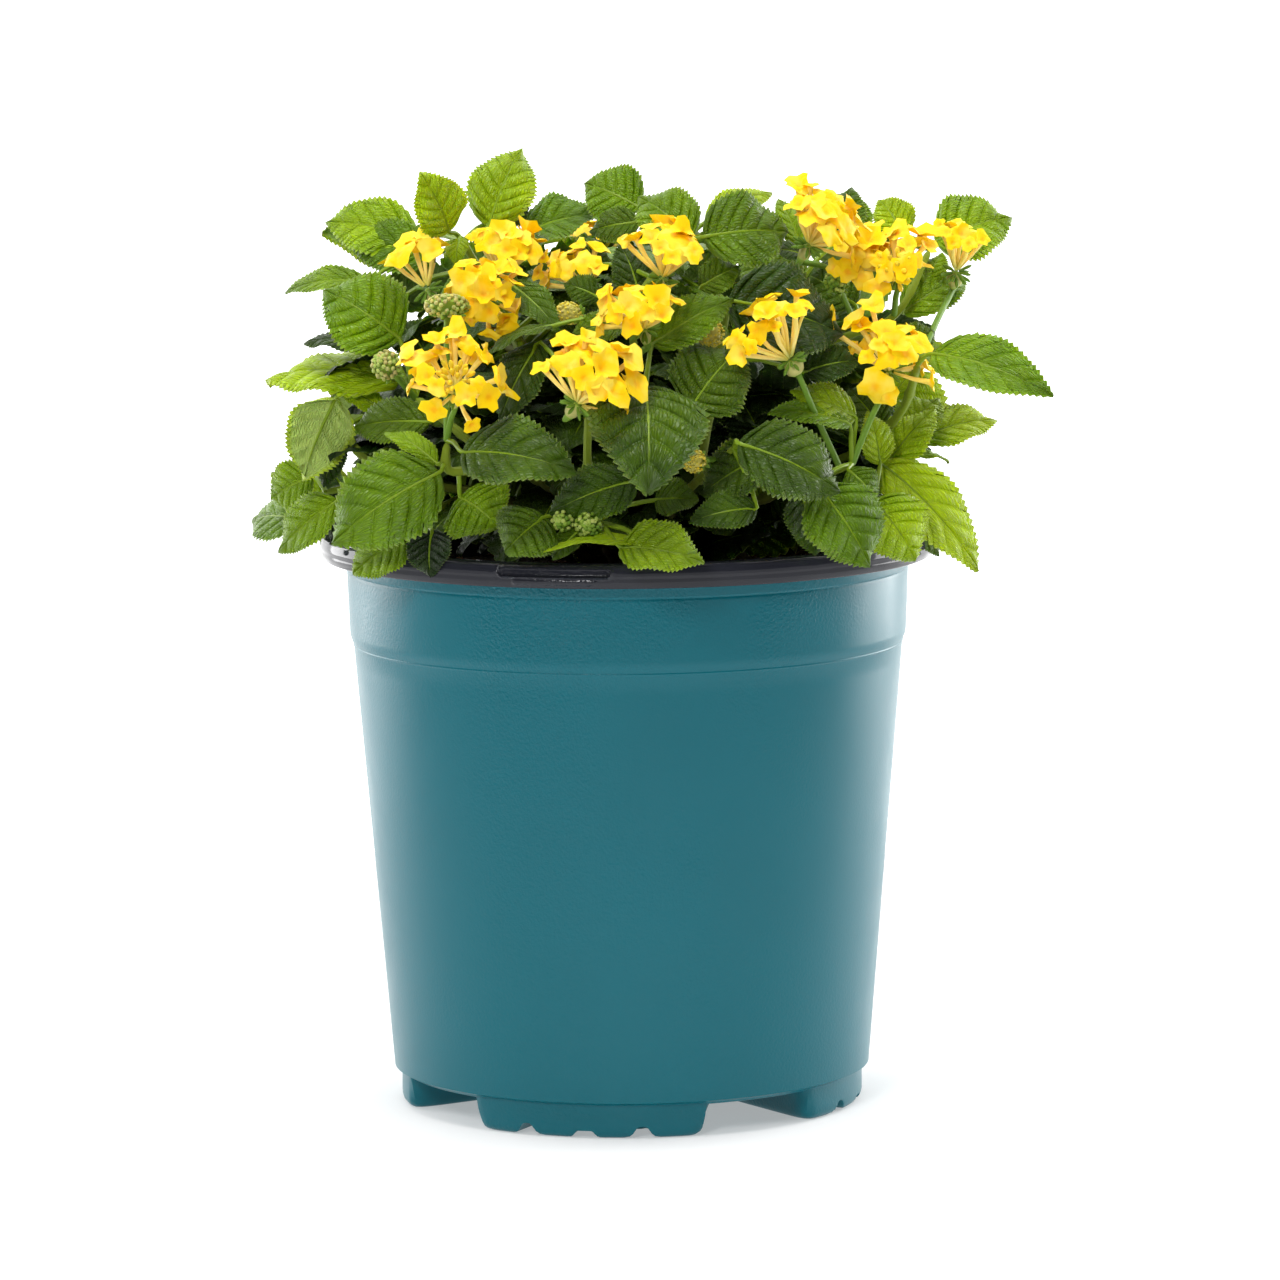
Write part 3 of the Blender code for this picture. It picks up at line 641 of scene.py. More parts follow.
def inner_blades(count, heights, reaches, rng):
    """Blades inside the plant, darkened with painted shade: bases and tips at shares of a dome's radius, tips
    turned outwards.

    The dome's radius is the root of one less the square of the height over its middle. Heights in mm and
    reaches as shares give the least and the most.
    """
    blades = []
    for number in range(count):
        bearing = number * GOLDEN + rng.normal(0, 0.1)
        height = rng.uniform(*heights)
        dome = DOME_RADIUS * math.sqrt(max(1 - ((height - DOME_MIDDLE) / DOME_HEIGHT) ** 2, 0.05))
        reach = rng.uniform(*reaches) * (1 - 0.36 * max(math.cos(bearing), 0.0))
        out = bearing_way(bearing)
        aside = np.array((out[1], -out[0], 0.0)) * rng.normal(0, 12)
        tip = (out * dome * reach + aside + (0, 0, height - rng.uniform(0, 14))) * MM
        base = tip - (out * rng.uniform(26, 42) + aside * 0.6 + (0, 0, rng.uniform(-16, 14))) * MM
        up = np.array((0, 0, 1.0)) + out * rng.uniform(0.3, 1.6) + rng.normal(0, 0.25, 3)
        # Painted shade: the tone is dark inside the plant, and a little less dark towards the back.
        tone = rng.uniform(0.0, 0.30) + 0.25 * max(out[1], 0)
        blades.append(free_blade(base, tip, up, 0.2, rng.uniform(27, 36) * MM, tone))
    return blades


def tip_blades(end, way, rng):
    """The young blades round a branch's tip: two crossed pairs, and a last one that goes on with the branch.

    Each lifts from square to the branch towards the branch's way and the sky.
    """
    first, second = cross_frame(way)
    phase = rng.uniform(0, math.pi)
    blades = []
    for angle, back, lift in TIP_LEAVES:
        out = first * math.cos(angle + phase) + second * math.sin(angle + phase)
        axis = unit(out + way * lift + np.array((0, 0, 0.25)))
        length = rng.uniform(26, 36) * MM
        base = end - way * back * MM + axis * (4 if back >= 0 else 1) * MM
        blades.append(free_blade(base, base + axis * length, way + np.array((0, 0, 0.8)), 0.14,
                                 rng.uniform(0.68, 0.8) * length, rng.uniform(0.35, 0.75)))
    return blades


def hidden(blade):
    """Whether a blade at the back or inside lies within the front leaves' outline, seen from the eye."""
    middle = (blade.base + blade.tip) / 4 + blade.bend / 2
    side = np.cross(unit(blade.tip - blade.base), blade.up) * blade.width / 2
    for column, row in map(point_pixel, (blade.base, blade.tip, middle, middle + side, middle - side)):
        if row < np.interp(column, *zip(*TOP_LINE)) or row > np.interp(column, *zip(*LOW_LINE)):
            return False
    return True


def leaf_skins(leaf, stems, rng, detail):
    """A toothed, quilted blade and its stalk.

    The blade is a closed lens carried along a Bezier midrib. Its rows follow the side veins: a row leaves
    the midrib at t^1.6 and meets the margin at t^0.74. Its half width is a power of a sine, narrowed to the
    tip. Its height is a fold plus the quilting, which is a power of a sine that falls to zero on each vein,
    less the curl and plus a wave of the margin. Each tooth is a sine of a power of its row's place.
    """
    teeth, half, steps, sides = detail
    base, bend, tip, up, width, tone = leaf
    rows = teeth * TOOTH_ROWS
    top = np.concatenate([np.negative(half[:0:-1]), half])
    side = np.concatenate([top, top[-2:0:-1]])
    under = (np.arange(len(side)) >= len(top)) * 1.0
    t = np.concatenate([[0.003], (np.arange(rows) + 0.5) / rows, [0.996]])[:, None]
    reach = np.abs(side)
    margin = t ** 0.74
    place = t ** 1.6 + (margin - t ** 1.6) * reach ** 1.35
    outline = 0.5 * np.sin(math.pi * margin ** 0.80) ** 0.70 * (1 - 0.45 * margin ** 6)
    notch = np.sin(math.pi * ((t * teeth) % 1.0) ** 1.5) ** 0.7 - 0.45
    grow = np.clip(t / 0.12, 0, 1) * np.clip((1 - t) / 0.10, 0.25, 1)
    uneven = np.repeat(rng.uniform(0.7, 1.2, (teeth, 2)), TOOTH_ROWS, axis=0)
    uneven = np.pad(uneven, ((1, 1), (0, 0)), "edge")[:, (side > 0) * 1]
    tooth = np.where(reach == 1.0, notch * grow * uneven, 0.0) * (0.056 * width + 0.58 * MM)
    lateral = side * outline * width + np.sign(side) * tooth
    quilt = np.abs(np.sin(math.pi * t * VEINS)) ** 0.6 - 0.6
    quilt = quilt * np.clip(reach * 3, 0, 1) * (1 - 0.85 * reach ** 2.5) * 0.054 * width
    fold, curl = 0.20 + rng.uniform(-0.06, 0.08), rng.uniform(0.04, 0.12)
    phase = np.where(side > 0, *rng.uniform(0, 2 * math.pi, 2))
    wave = rng.uniform(0.02, 0.05) * np.sin(2 * math.pi * 2.3 * place + phase) * reach ** 2
    height = np.abs(lateral) * fold + quilt + width * (wave - curl * reach ** 3)
    height = height - (0.35 * (reach == 0) + 0.4 * under * np.sqrt(1 - reach ** 2)) * MM
    s = place[..., None]
    travel = unit((bend - base) * (1 - s) + (tip - bend) * s)
    across = unit(np.cross(travel, up))
    lift = np.cross(across, travel)
    twist = rng.uniform(-0.25, 0.25) * s
    across, lift = (across * np.cos(twist) + lift * np.sin(twist),
                    lift * np.cos(twist) - across * np.sin(twist))
    rings = bezier(base, bend, tip, s) + across * lateral[..., None] + lift * height[..., None]
    tone = np.clip(tone + rng.uniform(-0.05, 0.05), 0, 1)
    hue = 0.5 + rng.uniform(-0.2, 0.2)
    veins = np.stack(np.broadcast_arrays(t, (side + 1) / 2), axis=-1)
    blade = closed_skin(rings[None], VeinMap=veins[None], under=under, tone=tone, hue=hue, stalk=0.0)
    foot = nearest_stem(stems, base)
    rise = np.array((0, 0, 0.08 * np.linalg.norm(base - foot)))
    stops = [foot, foot + (base - foot) * 0.5 + rise, base]
    stops += [bezier(base, bend, tip, share) - up * 0.45 * MM for share in (0.15, 0.4, 0.65, 0.85)]
    route = smooth_route(stops, steps)
    radii = np.interp(np.linspace(0, 1, len(route)), [0, 0.33, 0.5, 0.75, 1], [1.15, 0.85, 0.7, 0.45, 0.15])
    return [blade, tube(route, radii * MM, sides, tone=tone, hue=hue, stalk=1.0, under=0.0)]


def spread_ways(count, spread, rng):
    """Ways over a cap round +Z: the golden angle round, and the angle out grows as a root of the number."""
    number = np.arange(count) + 0.5
    out = math.radians(spread) * np.sqrt(number / max(count, 1)) + rng.normal(0, 0.05, count)
    turn = number * GOLDEN + rng.normal(0, 0.12, count)
    return np.stack([np.sin(out) * np.cos(turn), np.sin(out) * np.sin(turn), np.cos(out)], axis=-1)


def floret_skin(bases, tips, faces, size, rng):
    """Open flowers: a curved tube that flares to a ruffled limb of four round lobes.

    The rings are the tube's foot, middle and throat, the limb's rim, a ring inside the limb, and one that
    dips into the throat. The rim's radius is a lobe's profile repeated four times round, and its height is
    a cupping of the whole limb plus a draw for each lobe and point.
    """
    count, columns = len(bases), 4 * len(LOBE)
    turns = round_turns(columns) + rng.uniform(0, 2 * math.pi, (count, 1))
    length = np.linalg.norm(tips - bases, axis=-1, keepdims=True)
    start = unit(tips - bases)
    mid = bases + start * length * 0.5 + unit(start - faces) * length * 0.05
    centres = np.stack([bases, mid, tips - faces * 1.5 * MM, tips, tips + faces * 0.25 * MM,
                        tips - faces * 0.7 * MM], axis=1)
    ways = unit(np.stack([start, start, start + faces, faces, faces, faces], axis=1))
    reach = np.ones((count, 6, columns)) * np.array((0.55, 0.85, 1.15, 1, 1, 0.6))[:, None] * MM
    lean = 1 + 0.14 * np.cos(turns - rng.uniform(0, 2 * math.pi, (count, 1)))
    limb = size[:, None] * lean * np.repeat(rng.uniform(0.82, 1.20, (count, 4)), len(LOBE), axis=1)
    reach[:, 3] = limb * np.tile(LOBE, 4) * rng.uniform(0.97, 1.03, (count, columns))
    reach[:, 4] = limb * np.tile(0.30 + 0.28 * LOBE, 4)
    rings = circles(centres, *cross_frame(ways), turns[:, None], reach)
    ruffle = rng.normal(-0.05, 0.22, (count, 1))
    ruffle = ruffle + np.repeat(rng.normal(0, 0.19, (count, 4)), len(LOBE), axis=1)
    ruffle = (ruffle + rng.normal(0, 0.08, (count, columns))) * size[:, None]
    rings[:, 3] += faces[:, None] * ruffle[..., None]
    rings[:, 4] += faces[:, None] * ruffle[..., None] * 0.45
    along = np.array((0.0, 0.2, 0.45, 1.0, 0.8, 0.55))[:, None]
    return closed_skin(rings, along=along, ripe=rng.uniform(0, 1, (count, 1, 1)), petal=1.0)


def bud_skin(bases, ways, length, radius, ripe, rng):
    """Shut buds or bracts: closed spindles along their ways, fattest two thirds of the way up."""
    shares, fat = np.array((0.0, 0.35, 0.7, 0.95)), np.array((0.45, 0.85, 1.0, 0.4))
    length = length * rng.uniform(0.85, 1.15, len(bases))
    centres = bases[:, None] + ways[:, None] * (length[:, None] * shares)[..., None]
    first, second = cross_frame(ways)
    rings = circles(centres, first[:, None], second[:, None], round_turns(6), (radius * fat)[:, None])
    return closed_skin(rings, along=shares[:, None], ripe=np.reshape(ripe, (-1, 1, 1)), petal=0.0)


def stalk_skin(foot, neck, axis, swell, tan):
    """A flower stalk from a stem: a tube that ends in a swollen receptacle, so tan, about the neck."""
    stops = [neck + axis * step * MM for step in (-6.5, -4.2, -1.5, 1.2, 2.6)]
    route = smooth_route([foot, foot + (neck - foot) * 0.5] + stops, 4)
    count = len(route)
    place = np.arange(count) - count + 1
    radii = np.interp(place, [-count, -16, -13, -10, -7, -4, 0],
                      [1.3, 1.1, 1.3, swell * 0.85, swell, swell * 0.8, 0.9]) * MM
    ripe = np.interp(place, [-14, -10, -4, 0], [0.0, tan, tan, 0.1])
    return tube(route, radii, 12, 0.06, along=0.0, ripe=ripe, petal=0.0)


def head_skins(head, stems, rng):
    """A stalk, a receptacle with bracts, open flowers round it and shut buds in its middle.

    A flower seen by the viewer lies over its pixel, on the near side of a sphere whose radius is the
    tubes' length.
    """
    neck, middle = pixel_point(head.stalk_top, head.near[0]), pixel_point(head.middle, head.near[1])
    hold = pixel_point(head.hold, head.hold[2]) if head.hold else neck
    axis = unit(middle - neck)
    skins = [stalk_skin(nearest_stem(stems, hold), neck, axis, head.swell, 0.36)]
    own = frame_along(axis)
    core = neck + axis * 2.2 * MM
    to_eye = unit(EYE - core)
    radius = head.radius * MM
    ways = spread_ways(head.count * (1 + 2 * bool(head.limbs)), head.spread, rng) @ own
    if head.limbs:
        ways = ways[ways @ to_eye < 0.15][:head.count]
    tips = core + ways * radius * rng.normal(1.0, 0.06, (len(ways), 1))
    size = rng.uniform(4.0, 5.4, len(ways)) * MM
    for *spot, wide in head.limbs:
        spot = pixel_point(spot, head.near[0])
        depth = math.sqrt(max(radius ** 2 - ((spot - core) ** 2).sum(), 0.0))
        tips = np.concatenate([tips, [spot + to_eye * (depth + rng.normal(0, 0.8) * MM)]])
        size = np.append(size, wide / 2.06 * MM)
    out = unit(tips - core)
    seen = np.arange(len(tips))[:, None] >= len(ways)
    faces = unit(out + axis * 0.25 + np.where(seen, 0.45, 0.0) * to_eye + rng.normal(0, 0.20, out.shape))
    skins.append(floret_skin(core + out * 2.0 * MM, tips, faces, size, rng))
    ring = spread_ways(26, 120, rng)[10:] @ own
    skins.append(bud_skin(core + ring * 1.5 * MM, ring, 5.2 * MM, 0.75 * MM, 0.0, rng))
    if head.buds:
        ways = spread_ways(head.buds, 62, rng) @ frame_along(unit(axis * 0.4 + to_eye))
        skins.append(bud_skin(core + axis * 5.0 * MM + ways * 6.0 * MM, ways, 4.6 * MM, 1.1 * MM, 0.85, rng))
    return skins


def cone_skins(cone, stems, rng):
    """A shut or spent head: an ovoid on a stalk, covered all round with blunt scales, and two bracts."""
    middle = pixel_point(cone.middle, cone.near)
    foot = nearest_stem(stems, pixel_point(cone.hold, cone.hold[2]))
    wide, high = cone.half[0] * MM, cone.half[1] * MM
    neck = middle + unit(foot - middle) * high * 0.9
    axis = unit(middle - neck)
    own = frame_along(axis)
    local = spread_ways(cone.bumps, 165, rng)
    local[:, 2] = np.cos(np.linspace(0.1, 2.75, cone.bumps))
    local[:, :2] *= (np.sqrt(1 - local[:, 2] ** 2) / np.linalg.norm(local[:, :2], axis=1))[:, None]
    grain = np.interp(cone.ripe, [0.35, 0.5], [1.0, 0.6])
    spots = middle + (local * (np.array((wide, wide, high)) - 1.2 * grain * MM)) @ own
    ripe = cone.ripe + rng.uniform(-0.12, 0.18, cone.bumps)
    scales = bud_skin(spots, local @ own, 1.7 * grain * MM, 0.95 * grain * MM, ripe, rng)
    ripe = cone.ripe * (0.9 if cone.ripe > 0.4 else 0.4)
    inside = bud_skin(np.zeros((1, 3)), np.array(((0, 0, 1.0),)), 1.0, 0.5, ripe, rng)
    low, top = inside.points[:, 2].min(), inside.points[:, 2].max()
    flat = inside.points * (2 * wide, 2 * wide, 2 * high / (top - low))
    flat = flat - (0, 0, high * (top + low) / (top - low))
    ring = spread_ways(16, 95, rng)[7:] @ own
    return [stalk_skin(foot, neck, axis, 1.3, 0.06), scales,
            inside._replace(points=middle + (1 - 0.2 * grain) * flat @ own),
            bud_skin(neck + ring * 0.8 * MM, ring, wide * 0.95, 0.8 * MM, 0.05, rng)]


def rounded(corners, steps=5):
    """A profile of (radius, height) with each corner turned into a smooth bend.

    A corner is a radius and mm added to it, a height and mm added to it, and how far the bend reaches in
    mm. The bend is a quadratic curve between the points that lie so far before and after the corner.
    """
    spots = [np.array((radius + out * MM, height + up * MM)) for radius, out, height, up, _ in corners]
    points = []
    for number, (spot, corner) in enumerate(zip(spots, corners)):
        before, after = (spots[min(max(number + step, 0), len(spots) - 1)] for step in (-1, 1))
        bend = corner[4] * MM
        start, end = spot + unit(before - spot) * bend, spot + unit(after - spot) * bend
        t = np.linspace(0, 1, steps)[:, None] if bend else np.zeros((1, 1))
        points.append(bezier(start, spot, end, t))
    return np.concatenate(points)


def lathe(radius, height, angles, **marks):
    """Rows of radii and heights, turned about the pot's axis into one closed skin."""
    rings = np.stack(np.broadcast_arrays(radius * np.sin(angles), -radius * np.cos(angles), height), axis=-1)
    return closed_skin(rings[None], **marks)


def within(distance, soft):
    """1 inside a line and 0 outside it: a logistic curve of the distance over so many mm."""
    return 1 / (1 + np.exp(np.minimum(distance / (soft * MM), 50)))


def pot_skins():
    """The turned shell with a plain moulded oval on its lip, and the four feet under it.

    The lip is a parabola of the height with a bell-shaped groove. The oval is a ring whose height is a bell
    of the distance from a racetrack line, round a sunk field, with a raised bar under it.
    """
    inner = SHOULDER_RADIUS - WALL
    dark = rounded([
        (0.0, 0, BASE_TOP, 0, 0), (BASE_RADIUS - WALL, 0, BASE_TOP, 0, 4),
        (STEP_RADIUS - WALL, 0, STEP_FOOT, 0, 1.5), (inner, 0, STEP_TOP, 2, 2),
        (inner, 1, SHOULDER_TOP, 0, 2), (inner, 3, RIM_TOP, -2, 1.5), (inner, 4.5, RIM_TOP, 0, 0.8),
        (RIM_RADIUS, -0.2, RIM_TOP, 0, 2.2), (RIM_RADIUS, 0, RIM_TOP, -4.5, 1.0),
        (RIM_RADIUS, -1.2, RIM_FOOT, 0, 0.7), (SHOULDER_RADIUS, 2.0, RIM_FOOT, -0.5, 0.5),
    ])
    shoulder = rounded([
        (SHOULDER_RADIUS, 1.3, RIM_FOOT, -1.2, 0.5), (SHOULDER_RADIUS, 1.0, SHOULDER_TOP, 1.2, 0.3),
        (SHOULDER_RADIUS, 0.4, SHOULDER_TOP, 0.7, 0.2), (SHOULDER_RADIUS, 0.6, SHOULDER_TOP, -0.1, 0.4),
        (SHOULDER_RADIUS, -0.35, STEP_TOP, -0.4, 1.8), (STEP_RADIUS, 0.9, STEP_FOOT, 0.2, 0.3),
        (STEP_RADIUS, 1.1, STEP_FOOT, -0.2, 0.2), (STEP_RADIUS, 0.7, STEP_FOOT, -0.9, 0.4),
    ])
    base = rounded([
        (BASE_RADIUS, 0, BASE_TOP, 0, 1.0), (FOOT_RADIUS, 0, BASE_TOP, -1.0, 0.8),
        (FOOT_RADIUS, -0.8, CHANNEL_HEIGHT, 0, 0.5), (0.0, 0, CHANNEL_HEIGHT, 0, 0),
    ])
    drop = np.linspace(RIM_TOP - 1.5 * MM, RIM_FOOT + 0.8 * MM, 26)
    lip = RIM_RADIUS - 0.05 / MM * (drop - RIM_TOP + 4.0 * MM) ** 2
    lip -= 0.22 * MM * np.exp(-((drop - RIM_TOP + 5.4 * MM) / (1.1 * MM)) ** 2)
    first = np.flatnonzero(dark[:, 1] > RIM_TOP - 1.4 * MM)[-1] + 1
    last = first + np.flatnonzero(dark[first:, 1] < drop[-1])[0]
    dark = np.concatenate([dark[:first], np.stack([lip, drop], axis=-1), dark[last:]])
    wall = np.linspace(shoulder[-1], base[0], 24)[1:-1]
    radius, height = np.split(np.concatenate([dark, shoulder, wall, base]), 2, axis=1)
    radius[[0, -1]] = 0.2 * MM
    black = np.arange(len(radius))[:, None] < len(dark)
    angles = np.radians(np.concatenate([np.arange(-28, 0, 0.25), np.arange(0, 332, 2.0)]))
    across = np.abs((angles - OVAL_BEARING) * RIM_RADIUS)
    rise = height - RIM_TOP
    ring = np.hypot(np.maximum(across - 20.3 * MM, 0), rise + 2.9 * MM) - 1.9 * MM
    bar = np.maximum(across - 16 * MM, 0), np.maximum(np.abs(rise + 6.7 * MM) - 0.5 * MM, 0)
    bar = np.hypot(*bar) - 0.6 * MM
    push = 1.4 * np.exp(-(ring / (0.5 * MM)) ** 2) - 0.5 * within(ring, 0.2) + 0.8 * within(bar, 0.25)
    outer = (radius > RIM_RADIUS - 1.5 * MM) & (rise < -0.4 * MM) & (height > RIM_FOOT + 0.2 * MM)
    shell = lathe(radius + np.where(outer, push, 0.0) * MM, height, angles, black=black * 1.0)
    return [shell] + [foot_skin(FIRST_FOOT + turn) for turn in round_turns(FEET)]


def foot_skin(bearing):
    """A foot: the outline of a pot's quarter between two channels, drafted down to a notched floor.

    Along each way from the foot's middle the outline is the smooth least of the distances to the outer
    arc and to both channel walls. Each notch is a flat-topped bell over the arc's length, and runs inwards.
    """
    way = np.concatenate([np.linspace(-1.02, 1.02, 260), np.linspace(1.02, 2 * math.pi - 1.02, 90)[1:-1]])
    side, out = np.sin(way), np.cos(way)
    # Heights in mm and the share of the outline there: down the wall, then inwards under the foot
    levels = [(16, 1), (12, 1), (8, 1), (5, 1), (3, 1), (1.6, 0.989), (0.7, 0.967), (0.2, 0.94), (0, 0.906)]
    levels = np.array(levels + [(0, share) for share in np.linspace(0.88, 0.03, 24)])
    height, share = levels[:, :1] * MM, levels[:, 1:]
    half = CHANNEL_HALF - 1.6 * MM - CHANNEL_DRAFT * 0.8 * np.clip(height / CHANNEL_HEIGHT, 0, 1.3)
    to_arc = -FOOT_MIDDLE * out + np.sqrt((FOOT_RADIUS - 0.2 * MM) ** 2 - (FOOT_MIDDLE * side) ** 2)
    lean = np.abs(side) - out
    to_wall = np.where(lean > 0.02, (FOOT_MIDDLE - math.sqrt(2) * half) / np.maximum(lean, 0.02), 1.0)
    soft = (5.0 - 2.6 * np.clip(height / CHANNEL_HEIGHT, 0, 1)) * MM
    least = np.minimum(to_arc, to_wall)
    distance = least - soft * np.log(np.exp(-(to_arc - least) / soft) + np.exp(-(to_wall - least) / soft))
    x, y = distance * share * side, FOOT_MIDDLE + distance * share * out
    lifted = height * np.ones_like(x)
    for degrees, high, half_wide, power in NOTCHES:
        cosine, sine = math.cos(math.radians(degrees)), math.sin(math.radians(degrees))
        rise = high * MM / (1 + np.abs((x * cosine - y * sine) / (half_wide * MM)) ** power)
        fade = np.clip((x * sine + y * cosine - FOOT_RADIUS + 20 * MM) / (2 * MM), 0, 1)
        lifted = np.maximum(lifted, rise * fade)
    cosine, sine = math.cos(bearing), math.sin(bearing)
    rings = np.stack([x * cosine + y * sine, x * sine - y * cosine, lifted], axis=-1)
    return closed_skin(rings[None], black=0.0)


def soil_skins(rng):
    """Potting mix: a turned block with a lumpy top, and bark chips scattered over it.

    The top is the sum of a few sines of the place, and a chip is a short prism with uneven corners.
    """
    gap = SOIL_GAP + WALL
    edge = SHOULDER_RADIUS - gap
    radii = np.concatenate([np.linspace(0.5 * MM, edge - MM, 40), [edge]])[:, None]
    angles = np.radians(np.arange(0, 360, 3))
    x, y = radii * np.sin(angles), -radii * np.cos(angles)
    lump = (np.sin(x * 210 + 1) * np.cos(y * 190) + 0.6 * np.sin(x * 520 + y * 410)
            + 0.5 * np.cos(y * 640 - x * 330 + 2)) * 1.1 * MM
    top = SOIL_TOP + lump + 2 * MM * np.clip(1 - radii / 0.08, 0, 1)
    lower = np.array([(edge, STEP_TOP + 2 * MM), (STEP_RADIUS - gap, STEP_FOOT),
                      (BASE_RADIUS - gap - 2 * MM, BASE_TOP + 3 * MM), (0.5 * MM, BASE_TOP + 0.4 * MM)])
    heights = np.concatenate([top, lower[:, 1:] * np.ones(len(angles))])
    block = lathe(np.concatenate([radii, lower[:, :1]])[::-1], heights[::-1], angles, chip=0.0)
    place = np.sqrt(rng.uniform(0.01, 1, CHIPS)) * (edge - 5 * MM)
    turn = rng.uniform(0, 2 * math.pi, CHIPS)
    middles = np.stack([place * np.sin(turn), -place * np.cos(turn),
                        SOIL_TOP + rng.uniform(0.5, 3.0, CHIPS) * MM], axis=-1)
    ways = unit(rng.normal(0, 1, (CHIPS, 3)) * (1, 1, 0.35))
    first, second = cross_frame(ways)
    long = rng.uniform(2.0, 6.5, (CHIPS, 1, 1)) * MM
    thick = rng.uniform(0.8, 2.2, (CHIPS, 1, 5)) * MM
    spots = middles[:, None] + ways[:, None] * long * np.array((-0.5, 0.0, 0.5))[:, None]
    reach = thick * np.array((0.7, 1.0, 0.6))[:, None]
    chips = circles(spots, first[:, None], 0.6 * second[:, None], round_turns(5), reach)
    return [block, closed_skin(chips, chip=rng.uniform(0.1, 1, (CHIPS, 1, 1)))]


def crown_skins():
    """The woody crown: a turned stump whose radius swells and folds with height and bearing."""
    height = np.array((0, 1, 4, 10, 16, 20, 24, 28, 33, 38, 42, 44.5, 46))[:, None] * MM + CROWN_FOOT
    base = np.array((5.5, 7.0, 8.2, 8.4, 8.0, 7.6, 8.2, 8.6, 8.3, 8.4, 8.0, 6.0, 3.0))[:, None] * MM
    turns = round_turns(40)
    folds = 1 + 0.06 * np.sin(5 * turns + height * 200) + 0.04 * np.sin(9 * turns)
    return [lathe(base * folds, height, turns + math.pi / 2, age=1.0)]


class Nodes:
    """Short ways to add and link the nodes of a tree."""

    def __init__(self, tree):
        self.tree = tree

    def join(self, value, socket):
        """Puts another socket, a number or a colour without alpha into a socket; None leaves it as it is."""
        if isinstance(value, bpy.types.NodeSocket):
            self.tree.links.new(value, socket)
        elif value is not None:
            socket.default_value = (*value, 1.0) if socket.type == "RGBA" else value

    def add(self, kind, *inputs, **settings):
        """A node of a kind, with settings, and inputs given in order."""
        made = self.tree.nodes.new("ShaderNode" + kind)
        for key, value in settings.items():
            setattr(made, key, value)
        for socket, value in zip(made.inputs, inputs):
            self.join(value, socket)
        return made

    def math(self, operation, *inputs):
        """The result of a Math node."""
        return self.add("Math", *inputs, operation=operation).outputs[0]

    def times(self, first, second):
        """The product of two values."""
        return self.math("MULTIPLY", first, second)

    def apart(self, first, second):
        """How far apart two values are."""
        return self.math("ABSOLUTE", self.math("SUBTRACT", first, second))

    def map(self, value, low, high, to_low=0.0, to_high=1.0):
        """A value carried from one range to another, and held inside it."""
        return self.add("MapRange", value, low, high, to_low, to_high).outputs[0]


class Finish(Nodes):
    """A procedural material: its nodes and its shader."""

    def __init__(self, name, **sockets):
        self.material = bpy.data.materials.new(name)
        self.material.use_nodes = True
        super().__init__(self.material.node_tree)
        self.shader = self.tree.nodes["Principled BSDF"]
        for socket, value in sockets.items():
            self.into(socket.replace("_", " "), value)

    def into(self, socket, value):
        """Puts a value into one of the shader's sockets."""
        self.join(value, self.shader.inputs[socket])

    def mark(self, name):
        """The value of a mark on the mesh's points."""
        return self.add("Attribute", attribute_name=name).outputs["Fac"]

    def mix(self, share, first, second):
        """A mix of two colours."""
        made = self.add("Mix", share, data_type="RGBA")
        self.join(first, made.inputs[6])
        self.join(second, made.inputs[7])
        return made.outputs[2]

    def ramp(self, share, stops):
        """The colour of a ramp of (place, colour) stops."""
        made = self.add("ValToRGB", share)
        band = made.color_ramp.elements
        for number, (place, colour) in enumerate(stops):
            stop = band[number] if number < 2 else band.new(place)
            stop.position, stop.color = place, (*colour, 1.0)
        return made.outputs[0]

    def place(self):
        """The place in the object's own coordinates."""
        return self.add("TexCoord").outputs["Object"]

    def noise(self, vector, scale, detail=2.0):
        """A noise pattern's height."""
        return self.add("TexNoise", vector, None, scale, detail).outputs[0]

    def bump(self, height, strength, distance):
        """Joins a height to the shader's normal."""
        made = self.add("Bump")
        for socket, value in (("Strength", strength), ("Distance", distance), ("Height", height)):
            self.join(value, made.inputs[socket])
        self.into("Normal", made.outputs[0])


def pot_finish():
    """Moulded plastic: black and glossy on the rim and inside, teal below, with an orange-peel skin."""
    made = Finish("pot plastic", Specular_IOR_Level=0.28)
    place = made.place()
    black = made.mark("black")
    teal = made.mix(made.noise(place, 9.0), (0.000, 0.116, 0.150), (0.000, 0.140, 0.182))
    made.into("Base Color", made.mix(black, teal, (0.019, 0.020, 0.027)))
    scuff = made.map(made.noise(place, 60.0, 4.0), 0.3, 0.7, -0.03, 0.03)
    made.into("Roughness", made.math("ADD", made.map(black, 0, 1, 0.31, 0.07), scuff))
    peel = made.noise(place, 850.0)
    x, y, z = made.add("SeparateXYZ", place).outputs
    oval = made.add("CombineXYZ", *map(float, OVAL_PLACE)).outputs[0]
    from_oval = made.add("VectorMath", place, oval, operation="DISTANCE").outputs[1]
    glints = made.times(made.map(from_oval, 0.024, 0.027, 1.0, 0.0), black)
    aside = made.math("ABSOLUTE", made.math("ADD", x, 0.036))
    front = made.times(made.map(aside, 0.018, 0.034, 1.0, 0.0), made.map(y, -0.05, 0.0, 1.0, 0.0))
    patch = made.math("MAXIMUM", made.map(made.noise(place, 16.0), 0.42, 0.60), front)
    coarse = made.times(patch, made.map(made.map(z, 0.165, 0.20), 0, 1, 0.30, 1.0))
    height = made.times(peel, made.map(coarse, 0, 1, 0.14, 1.25))
    height = made.times(height, made.map(made.math("ABSOLUTE", x), 0.050, 0.085, 1.0, 0.22))
    height = made.times(height, made.map(black, 0, 1, 1.0, 0.10))
    sway = made.times(made.noise(place, 70.0, 1.0), made.times(black, 0.6))
    height = made.math("ADD", height, sway)
    height = made.math("ADD", height, made.times(made.noise(place, 520.0), made.times(glints, 0.6)))
    made.bump(height, 0.8, 0.0006)
    return made.material


